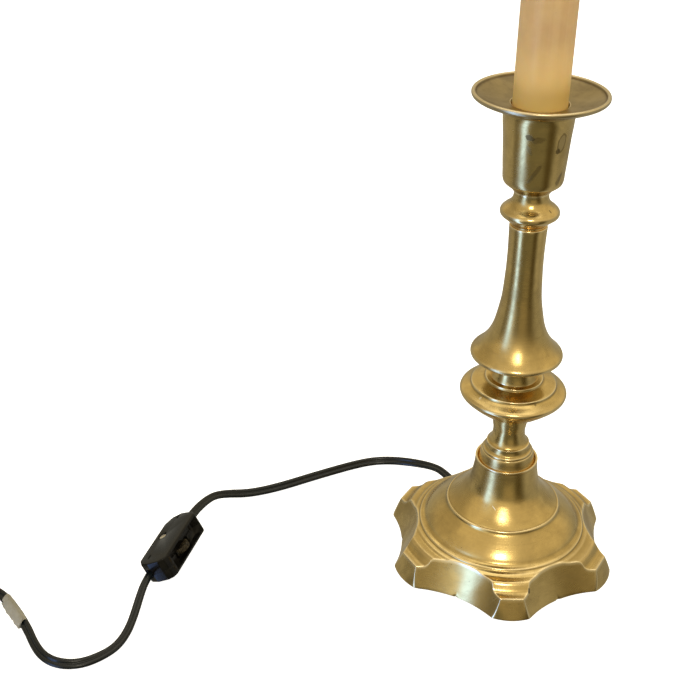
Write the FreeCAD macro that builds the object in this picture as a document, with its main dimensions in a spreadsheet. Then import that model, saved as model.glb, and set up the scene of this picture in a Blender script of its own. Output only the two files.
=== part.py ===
import FreeCAD, Part
import math
import os

import PartDesign
import Sketcher
from FreeCAD import Matrix, Placement, Rotation, Vector

# Candlestick table lamp. Millimetres, +Z up, origin on the lamp's axis at the
# table, with one corner of the six-armed base towards -Y.

doc = FreeCAD.newDocument("candlestick_lamp")
sheet = doc.addObject("Spreadsheet::Sheet", "Dims")
cells = {}
nodes = {}


def size(alias, value):
    row = len(cells) + 1
    sheet.set("A%d" % row, alias)
    sheet.set("B%d" % row, "%.4f" % value)
    sheet.setAlias("B%d" % row, alias)
    cells[alias] = value
    return value


def table(prefix, points):
    for i, (a, b) in enumerate(points):
        size("%s_across_%02d" % (prefix, i), a)
        size("%s_along_%02d" % (prefix, i), b)
    return points


# ---- driving dimensions -------------------------------------------------

size("felt_thick", 1.0)
size("felt_inset", 1.5)
size("scallop_low_centre", 114.35)
size("scallop_low_radius", 57.38)
size("scallop_low_level", 1.0)
size("scallop_top_centre", 97.45)
size("scallop_top_radius", 53.22)
size("scallop_top_level", 24.0)
size("arms", 6)
size("pipe_radius", 4.85)
size("pipe_bore", 3.3)
size("pipe_low", 44.0)
size("pipe_top", 318.0)
size("stem_bore", 5.1)
size("cord_across", 5.3)
size("cord_hole_radius", 3.6)
size("cord_exit_level", 12.0)
size("cord_exit_angle", 120.0)
size("cord_exit_reach", 50.5)
size("candle_radius", 13.0)
size("candle_wall", 1.2)
size("candle_seat", 229.5)
size("candle_top", 370.0)
size("nut_flats", 14.0)
size("nut_bore", 4.9)
size("base_nut_low", 47.5)
size("base_nut_thick", 5.0)
size("base_washer_radius", 11.0)
size("base_washer_thick", 1.5)
size("base_washer_low", 52.5)
size("cup_washer_radius", 9.0)
size("cup_washer_thick", 1.0)
size("cup_washer_low", 227.0)
size("cup_nut_low", 228.0)
size("cup_nut_thick", 4.0)

BORE = cells["stem_bore"]

# Half sections, (radius, height), from the table up.
BASE = table("base", [
    (50.0, 1.0), (65.6, 1.0), (60.7, 12.4), (58.8, 12.5), (57.2, 12.9), (56.0, 13.8),
    (55.0, 15.1), (54.0, 16.4), (52.9, 17.1), (51.4, 17.3), (50.0, 17.4), (49.0, 17.8),
    (48.2, 18.3), (46.8, 18.6), (46.2, 18.9), (45.9, 19.5), (45.3, 19.8), (44.4, 20.0),
    (43.3, 20.6), (42.6, 21.3), (42.0, 22.2),
    (40.3, 24.1), (38.2, 26.1), (36.0, 28.0), (33.6, 30.0), (32.2, 31.2), (31.6, 32.0),
    (31.3, 32.9), (30.8, 33.3), (30.3, 33.3), (28.8, 34.5), (26.7, 36.4), (24.7, 38.5),
    (22.8, 40.8), (21.1, 43.0), (19.8, 45.3), (18.8, 48.0), (18.1, 51.0), (17.6, 54.0),
    (17.2, 57.0), (17.0, 60.0), (16.9, 60.6), (17.06, 61.7), (16.9, 62.1), (16.1, 62.1),
    (15.8, 61.8), (15.8, 60.5), (BORE, 60.5), (BORE, 54.0), (12.5, 54.0), (13.8, 48.0),
    (15.6, 44.0), (18.5, 39.0), (22.0, 35.0), (26.5, 30.5), (31.5, 26.0), (36.0, 21.5),
    (41.0, 16.0), (44.5, 12.0), (49.5, 3.0)])
STEM = table("stem", [
    (BORE, 60.5), (15.5, 60.5), (15.4, 61.6), (14.9, 62.6), (14.65, 64.5), (14.4, 66.0), (13.9, 67.2),
    (13.4, 67.4), (13.3, 68.2), (12.9, 68.6), (12.1, 69.2), (11.6, 70.4), (11.5, 71.6),
    (11.6, 72.4), (10.7, 72.9), (9.9, 74.0), (9.1, 76.0), (8.7, 78.5), (8.6, 81.0),
    (9.2, 84.5), (9.7, 88.5), (10.1, 90.4), (10.6, 91.3), (11.4, 92.0), (12.6, 93.3),
    (15.4, 93.7), (17.9, 95.0), (20.3, 97.0), (22.7, 99.0), (24.8, 101.0), (26.9, 103.0),
    (28.0, 104.4), (28.3, 105.4), (27.9, 106.4), (26.7, 107.3), (24.5, 108.3),
    (22.7, 109.4), (22.4, 110.6), (22.0, 110.8), (19.0, 111.8), (15.5, 112.9),
    (15.4, 113.4), (15.2, 114.1), (14.6, 114.3), (BORE, 114.3)])
COLUMN = table("column", [
    (BORE, 114.3), (12.6, 114.3), (12.3, 114.9), (12.0, 116.0), (11.8, 118.0), (11.7, 121.0),
    (12.1, 123.0), (13.0, 124.1), (16.6, 124.4), (17.0, 125.2), (18.0, 125.6), (22.8, 126.7),
    (23.9, 127.6), (24.1, 128.5), (23.7, 129.5), (22.6, 130.6), (20.9, 132.2),
    (18.9, 134.5), (17.0, 137.0), (15.3, 140.0), (14.0, 143.0), (13.0, 146.0),
    (12.3, 149.0), (11.6, 152.5), (10.95, 156.0), (10.3, 160.0), (9.85, 165.0),
    (9.6, 170.0), (9.35, 175.0), (9.2, 180.0), (9.15, 186.0), (9.25, 192.0), (9.4, 198.0),
    (9.5, 200.7), (9.3, 201.2), (BORE, 201.2)])
KNOP = table("knop", [
    (BORE, 201.2), (8.8, 201.2), (9.2, 202.6), (10.0, 203.2), (11.0, 204.1), (12.0, 205.0),
    (13.2, 206.0), (14.4, 207.0), (14.7, 208.2), (14.5, 209.2), (13.9, 210.0),
    (12.8, 211.0), (11.7, 211.8), (11.2, 212.2), (10.2, 213.2), (9.1, 214.9),
    (8.65, 216.5), (8.6, 218.0), (8.8, 219.2), (BORE, 219.2)])
CUP = table("cup", [
    (BORE, 219.2), (8.8, 219.2), (9.5, 219.6), (9.6, 220.1), (9.9, 220.6), (10.7, 221.1),
    (11.8, 222.0), (13.1, 223.0), (14.2, 224.0), (14.8, 226.0), (14.95, 229.0),
    (15.25, 233.0), (15.75, 241.0), (16.3, 249.0), (16.8, 254.0), (17.0, 257.5),
    (17.6, 260.0), (19.5, 261.5), (13.6, 261.5), (13.6, 229.5), (12.4, 229.5),
    (12.4, 227.0), (BORE, 227.0)])
PAN = table("pan", [
    (13.7, 261.5), (19.5, 261.5), (31.6, 266.0), (32.2, 266.6), (32.35, 267.4),
    (32.1, 268.1), (31.3, 268.45), (30.5, 268.1), (30.25, 267.4), (30.1, 266.9),
    (28.0, 266.1), (20.0, 263.7), (14.6, 262.9), (13.7, 262.9)])
SOCKET = table("socket", [
    (3.0, 332.0), (10.6, 332.0), (10.6, 365.0), (9.8, 366.0), (6.95, 366.0), (6.95, 338.0),
    (3.0, 338.0)])
SHELL = table("shell", [
    (6.35, 344.0), (6.9, 344.0), (6.9, 364.5), (6.35, 364.5)])
GLASS = table("glass", [
    (4.7, 352.0), (5.3, 352.0), (5.3, 361.0), (6.2, 366.0), (8.0, 372.0), (11.0, 379.0),
    (14.0, 386.0), (16.0, 394.0), (16.5, 402.0), (15.6, 411.0), (13.2, 421.0),
    (9.8, 431.0), (6.0, 440.0), (2.6, 446.0), (0.0, 448.5), (0.0, 447.7), (2.2, 445.4),
    (5.5, 439.7), (9.2, 430.7), (12.6, 420.8), (15.0, 410.9), (15.9, 402.0),
    (15.4, 394.1), (13.4, 386.3), (10.4, 379.3), (7.4, 372.3), (5.6, 366.2), (4.7, 361.1)])
BULB_CAP = table("bulb_cap", [
    (2.6, 344.6), (4.2, 344.6), (5.95, 346.5), (5.95, 362.0), (5.5, 362.0), (5.5, 346.9),
    (4.0, 345.2), (2.6, 345.2)])
BUSH = table("bush", [
    (2.8, 0.0), (3.5, 0.0), (3.5, 6.0), (3.2, 6.5), (2.8, 6.5)])
COIL = table("coil", [
    (20.8, 4.0), (22.3, 1.6), (24.5, 1.0), (33.5, 1.0), (35.7, 1.6), (37.2, 4.0),
    (37.2, 11.6), (35.7, 14.4), (33.0, 15.6), (25.0, 15.6), (22.3, 14.4), (20.8, 11.6)])
# The switch seen from above: across its width, along its length.
SWITCH = table("switch", [
    (-9.3, -18.5), (-7.0, -21.8), (-2.0, -23.3), (5.0, -23.3), (8.0, -22.0), (9.3, -19.5),
    (9.3, 18.8), (7.0, 21.2), (-1.0, 22.6), (-6.5, 20.2), (-9.3, 14.5)])
CAVITY = table("cavity", [
    (-7.7, -16.0), (-5.5, -19.0), (3.0, -19.0), (4.45, -17.0), (4.45, 17.0), (2.0, 19.0),
    (-4.5, 18.5), (-7.7, 13.0)])
RECESS = table("recess", [
    (5.4, -14.5), (9.9, -17.6), (12.0, -17.6), (12.0, 18.0), (9.9, 18.0), (5.4, 15.0)])

size("switch_half_height", 6.55)
size("switch_split", 0.4)
size("switch_roof", 1.45)
size("recess_lip", 5.0)
size("wheel_radius", 6.2)
size("wheel_bore", 1.45)
size("wheel_thick", 3.0)
size("wheel_ribs", 36)
size("axle_radius", 1.4)
size("wheel_x", 2.9)
size("wheel_z", -2.1)
size("screw_x", -4.6)
size("screw_y", 2.3)

# ---- routes of the free cord --------------------------------------------

LAMP_SIDE = [
    (-25.25, 43.734, 12.0), (-30.0, 51.96, 12.0), (-35.0, 59.0, 10.1), (-41.8, 66.0, 7.0),
    (-50.8, 71.5, 4.6), (-61.8, 75.0, 3.2), (-73.5, 74.6, 2.65), (-85.5, 69.8, 2.65),
    (-98.5, 63.2, 2.65), (-112.0, 56.0, 2.65), (-125.5, 48.4, 2.65), (-138.5, 42.2, 2.65),
    (-149.5, 36.0, 2.9), (-159.3, 29.6, 4.2), (-167.6, 23.0, 6.5), (-174.0, 15.4, 8.6),
    (-178.0, 7.4, 9.7), (-179.6, 1.2, 9.87)]
PLUG_SIDE = [
    (-194.2, -40.9, 7.8), (-195.9, -47.3, 7.4), (-197.0, -54.8, 6.3), (-197.8, -63.3, 4.9),
    (-198.7, -72.6, 3.7), (-200.4, -82.0, 2.9), (-204.0, -91.0, 2.65),
    (-210.4, -98.4, 2.65), (-218.6, -104.1, 2.65), (-228.0, -105.3, 2.65),
    (-236.7, -101.7, 2.65), (-243.9, -93.8, 2.75), (-253.4, -77.2, 2.95),
    (-271.6, -57.4, 3.1), (-284.5, -50.6, 2.9), (-298.5, -48.6, 3.2), (-317.5, -48.6, 3.65)]
TAIL = [
    (-371.6, 2.5, 8.2), (-371.5, 9.3, 7.3), (-370.2, 16.3, 6.3), (-367.7, 22.9, 5.6)]
SWITCH_AT = Vector(-184.51, -20.43, 10.35)
SWITCH_HEADING = math.radians(75.02)
SWITCH_ROLL = math.radians(28.4)
COIL_AT = Vector(-337.0, -15.0, 0.0)


# ---- helpers ------------------------------------------------------------

def node(label, thing):
    thing.Label = label
    nodes[label] = thing
    return thing


def plane(body, role):
    for feature in body.Origin.OriginFeatures:
        if feature.Role == role:
            return feature
    raise RuntimeError("no " + role)


def polygon(body, name, role, points, prefix, lift=None):
    sketch = body.newObject("Sketcher::SketchObject", name)
    sketch.AttachmentSupport = (plane(body, role), "")
    sketch.MapMode = "FlatFace"
    if lift is not None:
        sketch.AttachmentOffset = Placement(Vector(0, 0, lift), Rotation())
    count = len(points)
    sketch.addGeometry([Part.LineSegment(Vector(*points[i], 0),
                                         Vector(*points[(i + 1) % count], 0))
                        for i in range(count)], False)
    rules = [Sketcher.Constraint("Coincident", i, 2, (i + 1) % count, 1)
             for i in range(count)]
    bound = []
    for i, (a, b) in enumerate(points):
        if abs(a) < 1e-9:
            rules.append(Sketcher.Constraint("PointOnObject", i, 1, -2))
        else:
            bound.append((len(rules), "Dims.%s_across_%02d" % (prefix, i)))
            rules.append(Sketcher.Constraint("DistanceX", -1, 1, i, 1, a))
        if abs(b) < 1e-9:
            rules.append(Sketcher.Constraint("PointOnObject", i, 1, -1))
        else:
            bound.append((len(rules), "Dims.%s_along_%02d" % (prefix, i)))
            rules.append(Sketcher.Constraint("DistanceY", -1, 1, i, 1, b))
    sketch.addConstraint(rules)
    for index, alias in bound:
        sketch.setExpression("Constraints[%d]" % index, alias)
    return sketch


def disc(body, name, radius, role="XY_Plane", centre=(0.0, 0.0), at=None, lift=None):
    """A circle in a sketch. radius and at name cells; at is (across, along)."""
    sketch = body.newObject("Sketcher::SketchObject", name)
    sketch.AttachmentSupport = (plane(body, role), "")
    sketch.MapMode = "FlatFace"
    if lift is not None:
        sketch.AttachmentOffset = Placement(Vector(0, 0, lift), Rotation())
    sketch.addGeometry(Part.Circle(Vector(centre[0], centre[1], 0), Vector(0, 0, 1),
                                   cells[radius]), False)
    index = sketch.addConstraint(Sketcher.Constraint("Radius", 0, cells[radius]))
    sketch.setExpression("Constraints[%d]" % index, "Dims." + radius)
    for k, kind in enumerate(("DistanceX", "DistanceY")):
        if at is None or at[k] is None:
            sketch.addConstraint(Sketcher.Constraint("PointOnObject", 0, 3, -2 + k))
        else:
            index = sketch.addConstraint(
                Sketcher.Constraint(kind, -1, 1, 0, 3, cells[at[k]]))
            sketch.setExpression("Constraints[%d]" % index, "Dims." + at[k])
    return sketch


def lathe(label, points, prefix, final=True):
    body = doc.addObject("PartDesign::Body", label + "_body")
    sketch = polygon(body, prefix + "_section", "XZ_Plane", points, prefix)
    turned = body.newObject("PartDesign::Revolution", prefix + "_turned")
    turned.Profile = sketch
    turned.ReferenceAxis = (sketch, ["V_Axis"])
    turned.Angle = 360
    body.Tip = turned
    doc.recompute()
    return node(label, body) if final else body


def cylinder(name, radius, height, at, axis=None):
    thing = doc.addObject("Part::Cylinder", name)
    for prop, value in (("Radius", radius), ("Height", height)):
        if isinstance(value, str):
            thing.setExpression(prop, value)
        else:
            setattr(thing, prop, value)
    turn = Rotation() if axis is None else Rotation(Vector(0, 0, 1), Vector(*axis))
    thing.Placement = Placement(Vector(*at), turn)
    return thing


def box(name, low, high):
    thing = doc.addObject("Part::Box", name)
    thing.Length, thing.Width, thing.Height = [high[i] - low[i] for i in range(3)]
    thing.Placement = Placement(Vector(*low), Rotation())
    return thing


def cut(name, base, tool):
    thing = doc.addObject("Part::Cut", name)
    thing.Base, thing.Tool = base, tool
    return thing


def fuse(name, things):
    thing = doc.addObject("Part::MultiFuse", name)
    thing.Shapes = things
    return thing


def hexagon(label, flats, bore, low, thick):
    prism = doc.addObject("Part::Prism", label + "_hexagon")
    prism.Polygon = 6
    prism.setExpression("Circumradius", "%s / 1.7320508" % flats)
    prism.setExpression("Height", thick)
    prism.setExpression("Placement.Base.z", low)
    hole = cylinder(label + "_hole", bore, 400, (0, 0, 0))
    return node(label, cut(label, prism, hole))


def route_path(points):
    """Straight runs joined by tangent arcs. Returns the wire and its radii."""
    pts = [Vector(*p) for p in points]
    edges, radii = [], []
    here = pts[0]
    for i in range(1, len(pts) - 1):
        before, after = pts[i] - pts[i - 1], pts[i + 1] - pts[i]
        shorter = min(before.Length, after.Length)
        turn = before.getAngle(after)
        reach = 0.45 * shorter
        radii.append(reach / math.tan(turn / 2))
        a = pts[i] - before.normalize() * reach
        b = pts[i] + after.normalize() * reach
        bisector = ((a - pts[i]) + (b - pts[i])).normalize()
        middle = pts[i] + bisector * (radii[-1] / math.cos(turn / 2) - radii[-1])
        edges.append(Part.LineSegment(here, a).toShape())
        edges.append(Part.Arc(a, middle, b).toShape())
        here = b
    edges.append(Part.LineSegment(here, pts[-1]).toShape())
    return Part.Wire(edges), radii


def tube(label, points, across, report=True):
    """A round tube along a route of runs and arcs."""
    wire, radii = route_path(points)
    first = Vector(*points[1]) - Vector(*points[0])
    ring = Part.Wire([Part.Circle(Vector(*points[0]), first, across / 2).toShape()])
    shape = wire.makePipeShell([ring], True, False)
    if shape.Volume < 0:
        shape.reverse()
    thing = doc.addObject("Part::Feature", label)
    thing.Shape = shape
    wanted = math.pi * across * across / 4 * wire.Length
    if report:
        print("%s: %.1f mm long, radii %s, least %.1f diameters" % (
            label, wire.Length, " ".join("%.0f" % r for r in radii),
            min(radii) / across))
    if abs(shape.Volume / wanted - 1) > 0.01:
        raise RuntimeError("%s: volume %.0f, section times length %.0f"
                           % (label, shape.Volume, wanted))
    return node(label, thing)


# ---- base ---------------------------------------------------------------

base = lathe("base_turned", BASE, "base", final=False)
turned_volume = base.Shape.Volume
low_ring = disc(base, "scallop_low", "scallop_low_radius", centre=(116.9, 0),
                at=("scallop_low_centre", None), lift=-cells["scallop_low_level"])
low_ring.setExpression("AttachmentOffset.Base.z", "-Dims.scallop_low_level")
top_ring = disc(base, "scallop_top", "scallop_top_radius", centre=(97.5, 0),
                at=("scallop_top_centre", None), lift=cells["scallop_top_level"])
top_ring.setExpression("AttachmentOffset.Base.z", "Dims.scallop_top_level")
doc.recompute()
scallop = base.newObject("PartDesign::SubtractiveLoft", "scallop")
scallop.Profile = low_ring
scallop.Sections = [top_ring]
scallop.Ruled = True
doc.recompute()
scallops = base.newObject("PartDesign::PolarPattern", "scallops")
scallops.Originals = [scallop]
scallops.Axis = (plane(base, "Z_Axis"), [""])
scallops.Angle = 360
scallops.setExpression("Occurrences", "Dims.arms")
base.Tip = scallops
doc.recompute()
print("base: turned %.0f, scalloped %.0f" % (turned_volume, base.Shape.Volume))
out = math.radians(cells["cord_exit_angle"])
outward = Vector(math.cos(out), math.sin(out), 0)
drill = cylinder("cord_drill", "Dims.cord_hole_radius", 20,
                 tuple(outward * 38 + Vector(0, 0, cells["cord_exit_level"])), tuple(outward))
node("base_casting", cut("base_casting", base, drill))
doc.recompute()

# Felt: the outline of the base just above the table, drawn in by the inset.
felt = Part.makeCylinder(65.6 - cells["felt_inset"], cells["felt_thick"])
for k in range(6):
    turn = math.radians(60 * k)
    felt = felt.cut(Part.makeCylinder(
        cells["scallop_low_radius"] + cells["felt_inset"], 4,
        Vector(cells["scallop_low_centre"] * math.cos(turn),
               cells["scallop_low_centre"] * math.sin(turn), -1)))
felt_pad = doc.addObject("Part::Feature", "base_felt")
felt_pad.Shape = felt.Solids[0]
node("base_felt", felt_pad)

bush = lathe("cord_bushing", BUSH, "bush")
bush.Placement = Placement(outward * 44 + Vector(0, 0, cells["cord_exit_level"]),
                           Rotation(Vector(0, 0, 1), outward))

# ---- stem, cup and candle -----------------------------------------------

lathe("lower_stem", STEM, "stem")
lathe("trumpet_column", COLUMN, "column")
lathe("upper_knop", KNOP, "knop")
lathe("candle_cup", CUP, "cup")
lathe("drip_pan", PAN, "pan")

sleeve_out = cylinder("sleeve_outside", "Dims.candle_radius",
                      "Dims.candle_top - Dims.candle_seat", (0, 0, 0))
sleeve_out.setExpression("Placement.Base.z", "Dims.candle_seat")
sleeve_in = cylinder("sleeve_inside", "Dims.candle_radius - Dims.candle_wall", 400,
                     (0, 0, 100))
node("candle_sleeve", cut("candle_sleeve", sleeve_out, sleeve_in))

pipe_out = cylinder("pipe_outside", "Dims.pipe_radius", "Dims.pipe_top - Dims.pipe_low",
                    (0, 0, 0))
pipe_out.setExpression("Placement.Base.z", "Dims.pipe_low")
pipe_in = cylinder("pipe_inside", "Dims.pipe_bore", 400, (0, 0, 0))
node("lamp_pipe", cut("lamp_pipe", pipe_out, pipe_in))

hexagon("base_nut", "Dims.nut_flats", "Dims.nut_bore", "Dims.base_nut_low",
        "Dims.base_nut_thick")
hexagon("cup_nut", "Dims.nut_flats", "Dims.nut_bore", "Dims.cup_nut_low",
        "Dims.cup_nut_thick")
for name in ("base_washer", "cup_washer"):
    ring = cylinder(name + "_outside", "Dims.%s_radius" % name, "Dims.%s_thick" % name,
                    (0, 0, 0))
    ring.setExpression("Placement.Base.z", "Dims.%s_low" % name)
    node(name, cut(name, ring, cylinder(name + "_hole", "Dims.nut_bore", 400, (0, 0, 0))))

# ---- cord inside the lamp -----------------------------------------------

level = cells["cord_exit_level"]
sweep = 24.0
start = outward * cells["cord_exit_reach"] + Vector(0, 0, level)
bend_a = outward * sweep + Vector(0, 0, level)
bend_b = Vector(0, 0, level + sweep)
centre = outward * sweep + Vector(0, 0, level + sweep)
middle = centre + (Vector(0, 0, -1) - outward).normalize() * sweep
inner = Part.Wire([Part.LineSegment(start, bend_a).toShape(),
                   Part.Arc(bend_a, middle, bend_b).toShape(),
                   Part.LineSegment(bend_b, Vector(0, 0, 325)).toShape()])
profile = Part.Wire([Part.Circle(start, outward, cells["cord_across"] / 2).toShape()])
inner_cord = doc.addObject("Part::Feature", "inner_cord")
inner_cord.Shape = inner.makePipeShell([profile], True, False)
node("inner_cord", inner_cord)
tube("lead_hot", [(0, 1.4, 325), (0, 2.6, 327.2), (0, 9.1, 329.6), (0, 9.5, 337.2)], 1.9)
tube("lead_neutral", [(0, -1.4, 325), (0, -2.6, 327.2), (0, -9.1, 329.6),
                      (0, -9.5, 337.2)], 1.9)

# ---- lampholder ---------------------------------------------------------

hub = cylinder("bracket_hub", 7.0, 6.0, (0, 0, 311))
plates = [box("bracket_left", (-9.4, -4, 311), (-8.4, 4, 332)),
          box("bracket_right", (8.4, -4, 311), (9.4, 4, 332)),
          box("bracket_foot", (-9.4, -4, 311), (9.4, 4, 312.2)),
          box("bracket_head_left", (-9.4, -4, 330.8), (-5.0, 4, 332)),
          box("bracket_head_right", (5.0, -4, 330.8), (9.4, 4, 332))]
bracket = fuse("bracket_solid", [hub] + plates)
node("socket_bracket", cut("socket_bracket", bracket,
                           cylinder("bracket_hole", "Dims.nut_bore", 30, (0, 0, 300))))
socket = lathe("socket_turned", SOCKET, "socket", final=False)
notches = fuse("socket_notches", [box("notch_front", (-3, -12, 331), (3, -8.0, 345)),
                                  box("notch_back", (-3, 8.0, 331), (3, 12, 345))])
node("socket_body", cut("socket_body", socket, notches))
lathe("screw_shell", SHELL, "shell")
tongue = fuse("centre_contact_fuse", [
    cylinder("contact_foot", 4.5, 0.8, (0, 0, 338)),
    cylinder("contact_rise", 1.6, 3.6, (0, 0, 338))])
node("centre_contact", tongue)
screws = []
for side in (-1, 1):
    screws.append(cylinder("terminal_head_%d" % (side + 1), 2.2, 1.3,
                           (0, side * 9.3, 340.2), (0, side, 0)))
    screws.append(cylinder("terminal_shank_%d" % (side + 1), 1.3, 1.4,
                           (0, side * 8.0, 340.2), (0, side, 0)))
node("terminal_screws", fuse("terminal_screws", screws))
liner_out = cylinder("liner_outside", 11.5, 32, (0, 0, 326))
node("socket_liner", cut("socket_liner", liner_out,
                         cylinder("liner_inside", 11.15, 60, (0, 0, 310))))

# ---- bulb ---------------------------------------------------------------

lathe("bulb_glass", GLASS, "glass")
lathe("bulb_cap", BULB_CAP, "bulb_cap")
node("bulb_contact", fuse("bulb_contact", [
    cylinder("bulb_button", 2.3, 2.2, (0, 0, 342.4)),
    cylinder("bulb_button_stem", 1.2, 4.0, (0, 0, 342.4))]))
node("bulb_stem", fuse("bulb_stem", [
    cylinder("bulb_stem_foot", 4.5, 3.0, (0, 0, 353)),
    cylinder("bulb_stem_rod", 2.0, 31.0, (0, 0, 353))]))
loop, _ = route_path([(-1.3, 0, 385), (-4.5, 0, 393), (-4.0, 0, 408), (0, 0, 416),
                      (4.0, 0, 408), (4.5, 0, 393), (1.3, 0, 385)])
loop_ring = Part.Wire([Part.Circle(Vector(-1.3, 0, 385), Vector(-3.2, 0, 8), 0.3).toShape()])
filament = doc.addObject("Part::Feature", "bulb_filament")
filament.Shape = loop.makePipeShell([loop_ring], True, False)
node("bulb_filament", filament)

# ---- free cord ----------------------------------------------------------

tube("cord_lamp_side", LAMP_SIDE, cells["cord_across"])
tube("cord_plug_side", PLUG_SIDE, cells["cord_across"])
tube("cord_tail", TAIL, cells["cord_across"])
coil = lathe("cord_coil", COIL, "coil")
coil.Placement = Placement(COIL_AT, Rotation())
tie_out = box("tie_outside", (-341, 3.9, 0.05), (-333, 23.3, 16.6))
tie_in = box("tie_inside", (-342, 4.7, 0.85), (-332, 22.5, 15.8))
node("cord_tie", cut("cord_tie", tie_out, tie_in))

# Paper flag folded round the cord.
a, b = Vector(*PLUG_SIDE[12]), Vector(*PLUG_SIDE[13])
run = (b - a).normalize()
flat = Vector(run.x, run.y, 0).normalize()
flag_turn = Rotation(Vector(flat.y, -flat.x, 0), flat, Vector(0, 0, 1), "ZXY")
flag_mid = (a + b) * 0.5
flag_block = doc.addObject("Part::Box", "flag_block")
flag_block.Length, flag_block.Width, flag_block.Height = 9.0, 22.0, 6.3
flag_bore = doc.addObject("Part::Cylinder", "flag_bore")
flag_bore.Radius, flag_bore.Height = 2.95, 60
flag_block.Placement = Placement(Vector(-4.5, -11, -flag_mid.z + 0.05), Rotation())
flag_bore.Placement = Placement(Vector(0, -30, 0), Rotation(Vector(1, 0, 0), -90))
flag = cut("cord_tag", flag_block, flag_bore)
flag.Placement = Placement(flag_mid, flag_turn)
node("cord_tag", flag)

# ---- switch -------------------------------------------------------------
# Built in its own frame (X across towards the wheel, Y along, Z out of its top
# face), then laid on the table on its long left edge.

along = Vector(math.cos(SWITCH_HEADING), math.sin(SWITCH_HEADING), 0)
right = Vector(math.sin(SWITCH_HEADING), -math.cos(SWITCH_HEADING), 0)
up = Vector(0, 0, 1)
sx = right * math.cos(SWITCH_ROLL) + up * math.sin(SWITCH_ROLL)
sz = up * math.cos(SWITCH_ROLL) - right * math.sin(SWITCH_ROLL)
frame = Matrix(sx.x, along.x, sz.x, SWITCH_AT.x, sx.y, along.y, sz.y, SWITCH_AT.y,
               sx.z, along.z, sz.z, SWITCH_AT.z, 0, 0, 0, 1)
switch_place = Placement(frame)


def at_switch(x, y, z):
    return switch_place.multVec(Vector(x, y, z))


half = cells["switch_half_height"]
split = -cells["switch_split"]


def half_shell(label, low, high, roof, outer_up):
    """One half of the housing: outline padded, hollowed from the split, recessed."""
    body = doc.addObject("PartDesign::Body", label + "_body")
    outline = polygon(body, label + "_outline", "XY_Plane", SWITCH, "switch", lift=split)
    pad = body.newObject("PartDesign::Pad", label + "_pad")
    pad.Profile = outline
    pad.Length = high - low
    pad.Reversed = not outer_up
    doc.recompute()
    hollow = polygon(body, label + "_hollow", "XY_Plane", CAVITY, "cavity", lift=split)
    room = body.newObject("PartDesign::Pocket", label + "_room")
    room.Profile = hollow
    room.Length = high - low - roof
    room.Reversed = outer_up
    body.Tip = room
    doc.recompute()
    side = polygon(body, label + "_side", "XY_Plane", RECESS, "recess", lift=split)
    window = body.newObject("PartDesign::Pocket", label + "_window")
    window.Profile = side
    window.Length = abs((cells["recess_lip"] if outer_up else -cells["recess_lip"]) - split)
    window.Reversed = outer_up
    body.Tip = window
    doc.recompute()
    print(label, "pad %.0f room %.0f window %.0f" % (pad.Shape.Volume, room.Shape.Volume,
                                                      window.Shape.Volume))
    return body


roof = cells["switch_roof"]
upper = half_shell("switch_upper", split, half, roof, True)
lower = half_shell("switch_lower", -half, split, roof, False)
for body, face_z in ((upper, half), (lower, -half)):
    tip = body.Tip
    names = []
    for i, edge in enumerate(tip.Shape.Edges):
        box_e = edge.BoundBox
        if abs(box_e.ZMin - face_z) < 1e-4 and abs(box_e.ZMax - face_z) < 1e-4:
            names.append("Edge%d" % (i + 1))
    rounding = body.newObject("PartDesign::Fillet", "rounding")
    rounding.Base = (tip, names)
    rounding.Radius = 0.8
    body.Tip = rounding
    doc.recompute()
    print("rounding", len(names), rounding.State, "%.0f" % body.Shape.Volume)
screw_x, screw_y = cells["screw_x"], cells["screw_y"]
wheel_x, wheel_z = cells["wheel_x"], cells["wheel_z"]
upper_tools = fuse("upper_tools", [
    cylinder("screw_well", 2.6, 3.0, (screw_x, screw_y, 5.35)),
    cylinder("screw_bore", 1.3, 16.0, (screw_x, screw_y, -6.0)),
    box("end_slot_far", (-2.4, 17.6, 6.15), (-1.4, 21.2, 7.0)),
    box("end_slot_near", (-4.2, -18.4, 6.15), (-3.2, -14.8, 7.0))])
screw_post = cylinder("screw_post", 2.3, 5.6, (screw_x, screw_y, -0.4))
upper_solid = cut("switch_upper_shell", fuse("upper_with_post", [upper, screw_post]),
                  upper_tools)
lower_post = cylinder("lower_post", 1.9, 5.0, (screw_x - 0.2, screw_y, -5.4))
lower_tools = fuse("lower_tools", [
    cylinder("lower_screw_bore", 1.3, 20.0, (screw_x, screw_y, -5.6)),
    box("wheel_gap", (3.0, -6.6, -4.0), (5.6, 6.6, 0.0)),
    cylinder("wheel_room", 6.6, 3.6, (wheel_x, 0, -4.0))])
lower_solid = cut("switch_lower_shell", fuse("lower_with_post", [lower, lower_post]),
                  lower_tools)
for label, thing in (("switch_upper_shell", upper_solid),
                     ("switch_lower_shell", lower_solid)):
    thing.Placement = switch_place
    node(label, thing)

wheel_body = doc.addObject("PartDesign::Body", "switch_wheel_body")
rim = disc(wheel_body, "wheel_rim", "wheel_radius")
wheel_pad = wheel_body.newObject("PartDesign::Pad", "wheel_pad")
wheel_pad.Profile = rim
wheel_pad.setExpression("Length", "Dims.wheel_thick")
doc.recompute()
bore = disc(wheel_body, "wheel_bore_circle", "wheel_bore")
wheel_hole = wheel_body.newObject("PartDesign::Pocket", "wheel_hole")
wheel_hole.Profile = bore
wheel_hole.Length = 10
wheel_hole.Reversed = True
wheel_hole.Midplane = True
doc.recompute()
size("rib_gap_radius", 0.16)
size("rib_gap_reach", 6.18)
doc.recompute()
gap = disc(wheel_body, "rib_gap", "rib_gap_radius", centre=(6.18, 0),
           at=("rib_gap_reach", None))
groove = wheel_body.newObject("PartDesign::Pocket", "rib_groove")
groove.Profile = gap
groove.Length = 10
groove.Midplane = True
doc.recompute()
ribs = wheel_body.newObject("PartDesign::PolarPattern", "ribs")
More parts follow.
